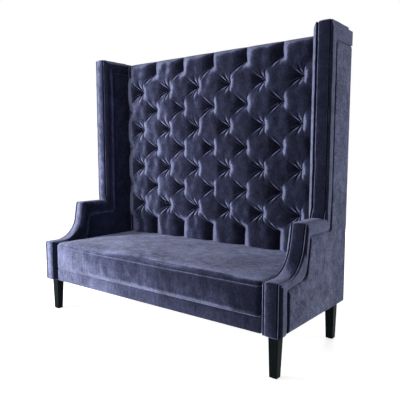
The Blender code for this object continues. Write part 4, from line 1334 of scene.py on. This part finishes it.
def spaced(start, end, cells, knots, tight):
    """Positions from start to end that crowd round the knots."""
    fine = np.linspace(start, end, 6000)
    density = 1 + tight * sum(falloff((fine - knot) / CROWDED_WIDTH) for knot in knots)
    walked = np.concatenate(([0.0], np.cumsum((density[1:] + density[:-1]) / 2)))
    return np.interp(np.linspace(0, walked[-1], cells + 1), walked, fine)


def back_relief(x, z):
    """How far the pad stands out at each place: puffs, channels, creases, and sides that roll back."""
    lattice = np.linspace(-PAD_HALF, PAD_HALF, 2001)
    column = np.interp(x, shifted(lattice), lattice) / TUFT_PITCH
    height = domes(column, np.interp(-z, -ROW_HEIGHTS, np.arange(TUFT_ROWS + 1)))
    for away in (z - ROW_HEIGHTS[0], ROW_HEIGHTS[-1] - z):
        beyond = away > 0
        height[beyond] = channels(column[beyond], away[beyond])
    outermost = TUFT_PITCH * (TUFT_COLUMNS - 1) / 2
    calm = 1 - (1 - SIDE_TUFT_SHARE) * clamp((np.abs(x) - outermost) / (TUFT_PITCH / 2)) ** 1.5
    height = 1 - (1 - height) * calm
    out = PUFF * height + (gathers(x, z) + mid_folds(x, z)) * calm
    places = np.column_stack((x, np.zeros_like(x), z))
    for amplitude, *wave in BACK_WAVES:
        out += amplitude * Waves(*wave)(places) * clamp(height)
    inside = PAD_HALF - np.abs(x)
    out -= SIDE_FALL * clamp(1 - inside / SIDE_SLOPE) * clamp(height)
    past = clamp((SIDE_ROLL - inside) / SIDE_ROLL)
    return np.maximum(DEEPEST + (out - DEEPEST) * np.sqrt(1 - past**2.4), DEEPEST)


def tufted_back():
    columns, rows = BACK_CELLS
    roll_start = BACK_HEIGHT - BACK_ROLL
    knots = np.arange(-TUFT_COLUMNS, TUFT_COLUMNS + 1) * TUFT_PITCH / 2
    xs = spaced(-PAD_HALF, PAD_HALF, columns, knots, CROWDING[0])
    zs = spaced(SEAT_HEIGHT - 0.002, roll_start, rows, ROW_HEIGHTS, CROWDING[1])
    x, z = (grid.ravel() for grid in np.meshgrid(xs, zs))
    face = FRONT + TUFT_DEPTH
    front = np.column_stack((x, face - back_relief(x, z), z)).reshape(len(zs), len(xs), 3)
    # The foot of the pad follows the crowned seat
    low, upper = front[0], front[-1]
    low[:, 2] = seat_top(low[:, 0], low[:, 1]) + FOOT_GAP
    for k in range(1, FOOT_ROWS):
        front[k, :, 2] = np.maximum(front[k, :, 2], low[:, 2] + FOOT_STEP * k)
    crest = face + BACK_CREST
    over = [(crest + (upper[:, 1] - crest) * math.cos(a), roll_start + BACK_ROLL * math.sin(a)) for a in quarter(9)[1:]]
    over += [
        (PAD_BACK, BACK_HEIGHT),
        (REAR_POST_BACK - BACK_EDGE, BACK_HEIGHT),
        (REAR_POST_BACK, BACK_HEIGHT - BACK_EDGE),
        (REAR_POST_BACK, BACK_HEIGHT - BACK_LIP),
        (PAD_BACK, BACK_HEIGHT - BACK_LIP),
    ]
    turned = [(low, PAD_BACK, low[:, 2])] + [(upper, y, height) for y, height in over]
    turned = [np.column_stack(np.broadcast_arrays(line[:, 0], y, height)) for line, y, height in turned]
    stacked = np.concatenate((turned[:1], front, turned[1:]))
    count, width = stacked.shape[:2]
    size = count * width
    faces = grid_faces(count, width)
    faces += [tuple(range(width - 1, size, width)), tuple(range(size - width, -1, -width))]
    faces.append((*range(width), *range(size - 1, size - width - 1, -1)))
    obj = make_object("tufted_back", splayed(stacked.reshape(-1, 3)), faces, VELVET_BACK_SHADED)
    obj.data.set_sharp_from_angle(angle=SHARP_ANGLES["back"])
    settle(obj, "back_pad")


# Dust sheet

SAG = 0.0022
SAG_REACH = 0.09
SAG_POWER = 1.3
RIPPLE = 0.0004
RIPPLE_REACH = 0.03
SHEET_LIFT = 0.0040


def dust_sheet():
    """Thin cloth tacked under the seat frame, cut back round the front posts."""
    short, long = INNER_FACE - FIT, INNER_FACE + PADDING
    front, clear, back = RAIL_FRONT + RAIL_DEPTH + FIT, FRONT + POST_BAND + FIT, REAR_POST_BACK
    side = np.linspace(short, long, 3)[1:]
    xs = np.concatenate((-side[::-1], np.linspace(-short, short, 61), side))
    ys = np.concatenate((np.linspace(front, clear, 4)[:-1], np.linspace(clear, back, 26)))
    x, y = (grid.ravel() for grid in np.meshgrid(xs, ys))
    points = np.column_stack((x, y, np.zeros(x.size)))
    inward = np.minimum.reduce((short - np.abs(x), y - front, back - y))
    ripple = RIPPLE * Waves(91, 0.04, 0.12)(points) * clamp(inward / RIPPLE_REACH)
    points[:, 2] = BASE_HEIGHT + SHEET_LIFT - SAG * clamp(inward / SAG_REACH) ** SAG_POWER + ripple
    faces = []
    for face in grid_faces(len(ys), len(xs)):
        middle = points[list(face)].mean(axis=0)
        if abs(middle[0]) < short or middle[1] > clear:
            faces.append(face)
    used = sorted({v for face in faces for v in face})
    order = {v: i for i, v in enumerate(used)}
    faces = [tuple(order[v] for v in face) for face in faces]
    obj = make_object("dust_sheet", points[used], faces, FINISHES["dust_cloth"])
    settle(obj, "dust_cover")


# Setting

WORLD_LEVEL = 0.06
# Distances from the object between which the floor's own light rises, and its strength at both
FLOOR_LIFT = (1.2, 3.6, 0.74, 0.97)
FLOOR_HALF = 14.0
FLOOR_GAP = 0.0004
# Lamps: place, aim, size and power
LAMPS = {
    "key": ((-2.2, -2.0, 1.1), (0.0, 0.1, 0.8), (1.0, 1.0), 84.0),
    "front": ((-0.4, -4.6, 0.9), (0.0, 0.1, 0.8), (2.4, 1.4), 30.0),
    "top": ((-0.6, -2.6, 3.2), (0.0, 0.1, 0.7), (1.6, 1.6), 22.0),
    "side": ((3.4, 1.5, 1.5), (0.9, 0.0, 0.9), (1.4, 1.4), 21.0),
    "rear": ((-0.6, 4.4, 1.6), (0.0, 0.3, 0.9), (2.4, 1.6), 110.0),
}
# The photo's camera, from a fit to its straight edges
CAMERA_PLACE = (1.9274, -1.8844 + FRONT, 1.0480)
CAMERA_YAW = 0.6700
CAMERA_PITCH = -0.0945
FOCAL_SHARE = 485.13 / 400
SENSOR = 36.0


def aimed(name, data, place, ahead):
    obj = add_object(name, data)
    obj.location = place
    obj.rotation_euler = ahead.to_track_quat("-Z", "Y").to_euler()
    return obj


def lamps():
    for name, (place, aim, size, power) in LAMPS.items():
        data = bpy.data.lights.new(name, "AREA")
        data.shape = "RECTANGLE"
        data.size, data.size_y = size
        data.energy = power
        aimed(name, data, place, Vector(aim) - Vector(place))


def backdrop():
    world = Graph(bpy.data.worlds.new("studio"), "Background")
    strength = world.total(world.product(world.seen_by_eye(), 1.0 - WORLD_LEVEL), WORLD_LEVEL)
    SCENE.world = world.close({"Strength": strength, "Color": WHITE})


def floor():
    """Pale floor. Near the object it keeps its shadow, and further off it turns into the white of the backdrop."""
    graph = Graph(bpy.data.materials.new("pale_floor"))
    patches = graph.noise(graph.place(), (3.0, 2.0))
    place = graph.add("TexCoord", {}, "Object")
    distance = graph.add("VectorMath", {0: place}, "Value", operation="LENGTH")
    inputs = {
        "Base Color": graph.ramp(patches, ((0.3, grey(0.86)), (0.7, grey(0.89)))),
        "Roughness": 0.9,
        "Specular IOR Level": 0.1,
        "Emission Color": WHITE,
        "Emission Strength": graph.product(graph.seen_by_eye(), graph.eased(distance, *FLOOR_LIFT)),
    }
    corners = [(x * FLOOR_HALF, y * FLOOR_HALF, 0) for x, y in ((-1, -1), (1, -1), (1, 1), (-1, 1))]
    obj = make_object("floor", corners, [(0, 1, 2, 3)], graph.close(inputs))
    obj.location.z = -FLOOR_GAP


def camera():
    data = bpy.data.cameras.new("view")
    data.sensor_width = SENSOR
    data.lens = FOCAL_SHARE * SENSOR
    yaw, pitch = CAMERA_YAW, CAMERA_PITCH
    ahead = Vector((-math.sin(yaw) * math.cos(pitch), math.cos(yaw) * math.cos(pitch), math.sin(pitch)))
    SCENE.camera = aimed("view", data, CAMERA_PLACE, ahead)


def build():
    SCENE.view_settings.view_transform = "Standard"
    camera()
    backdrop()
    floor()
    lamps()
    dress_frame()
    for side in SIDES:
        border(side)
        side_panels(side)
        wing_cap(side)
    flat_panels()
    seat()
    tufted_back()
    dust_sheet()


build()
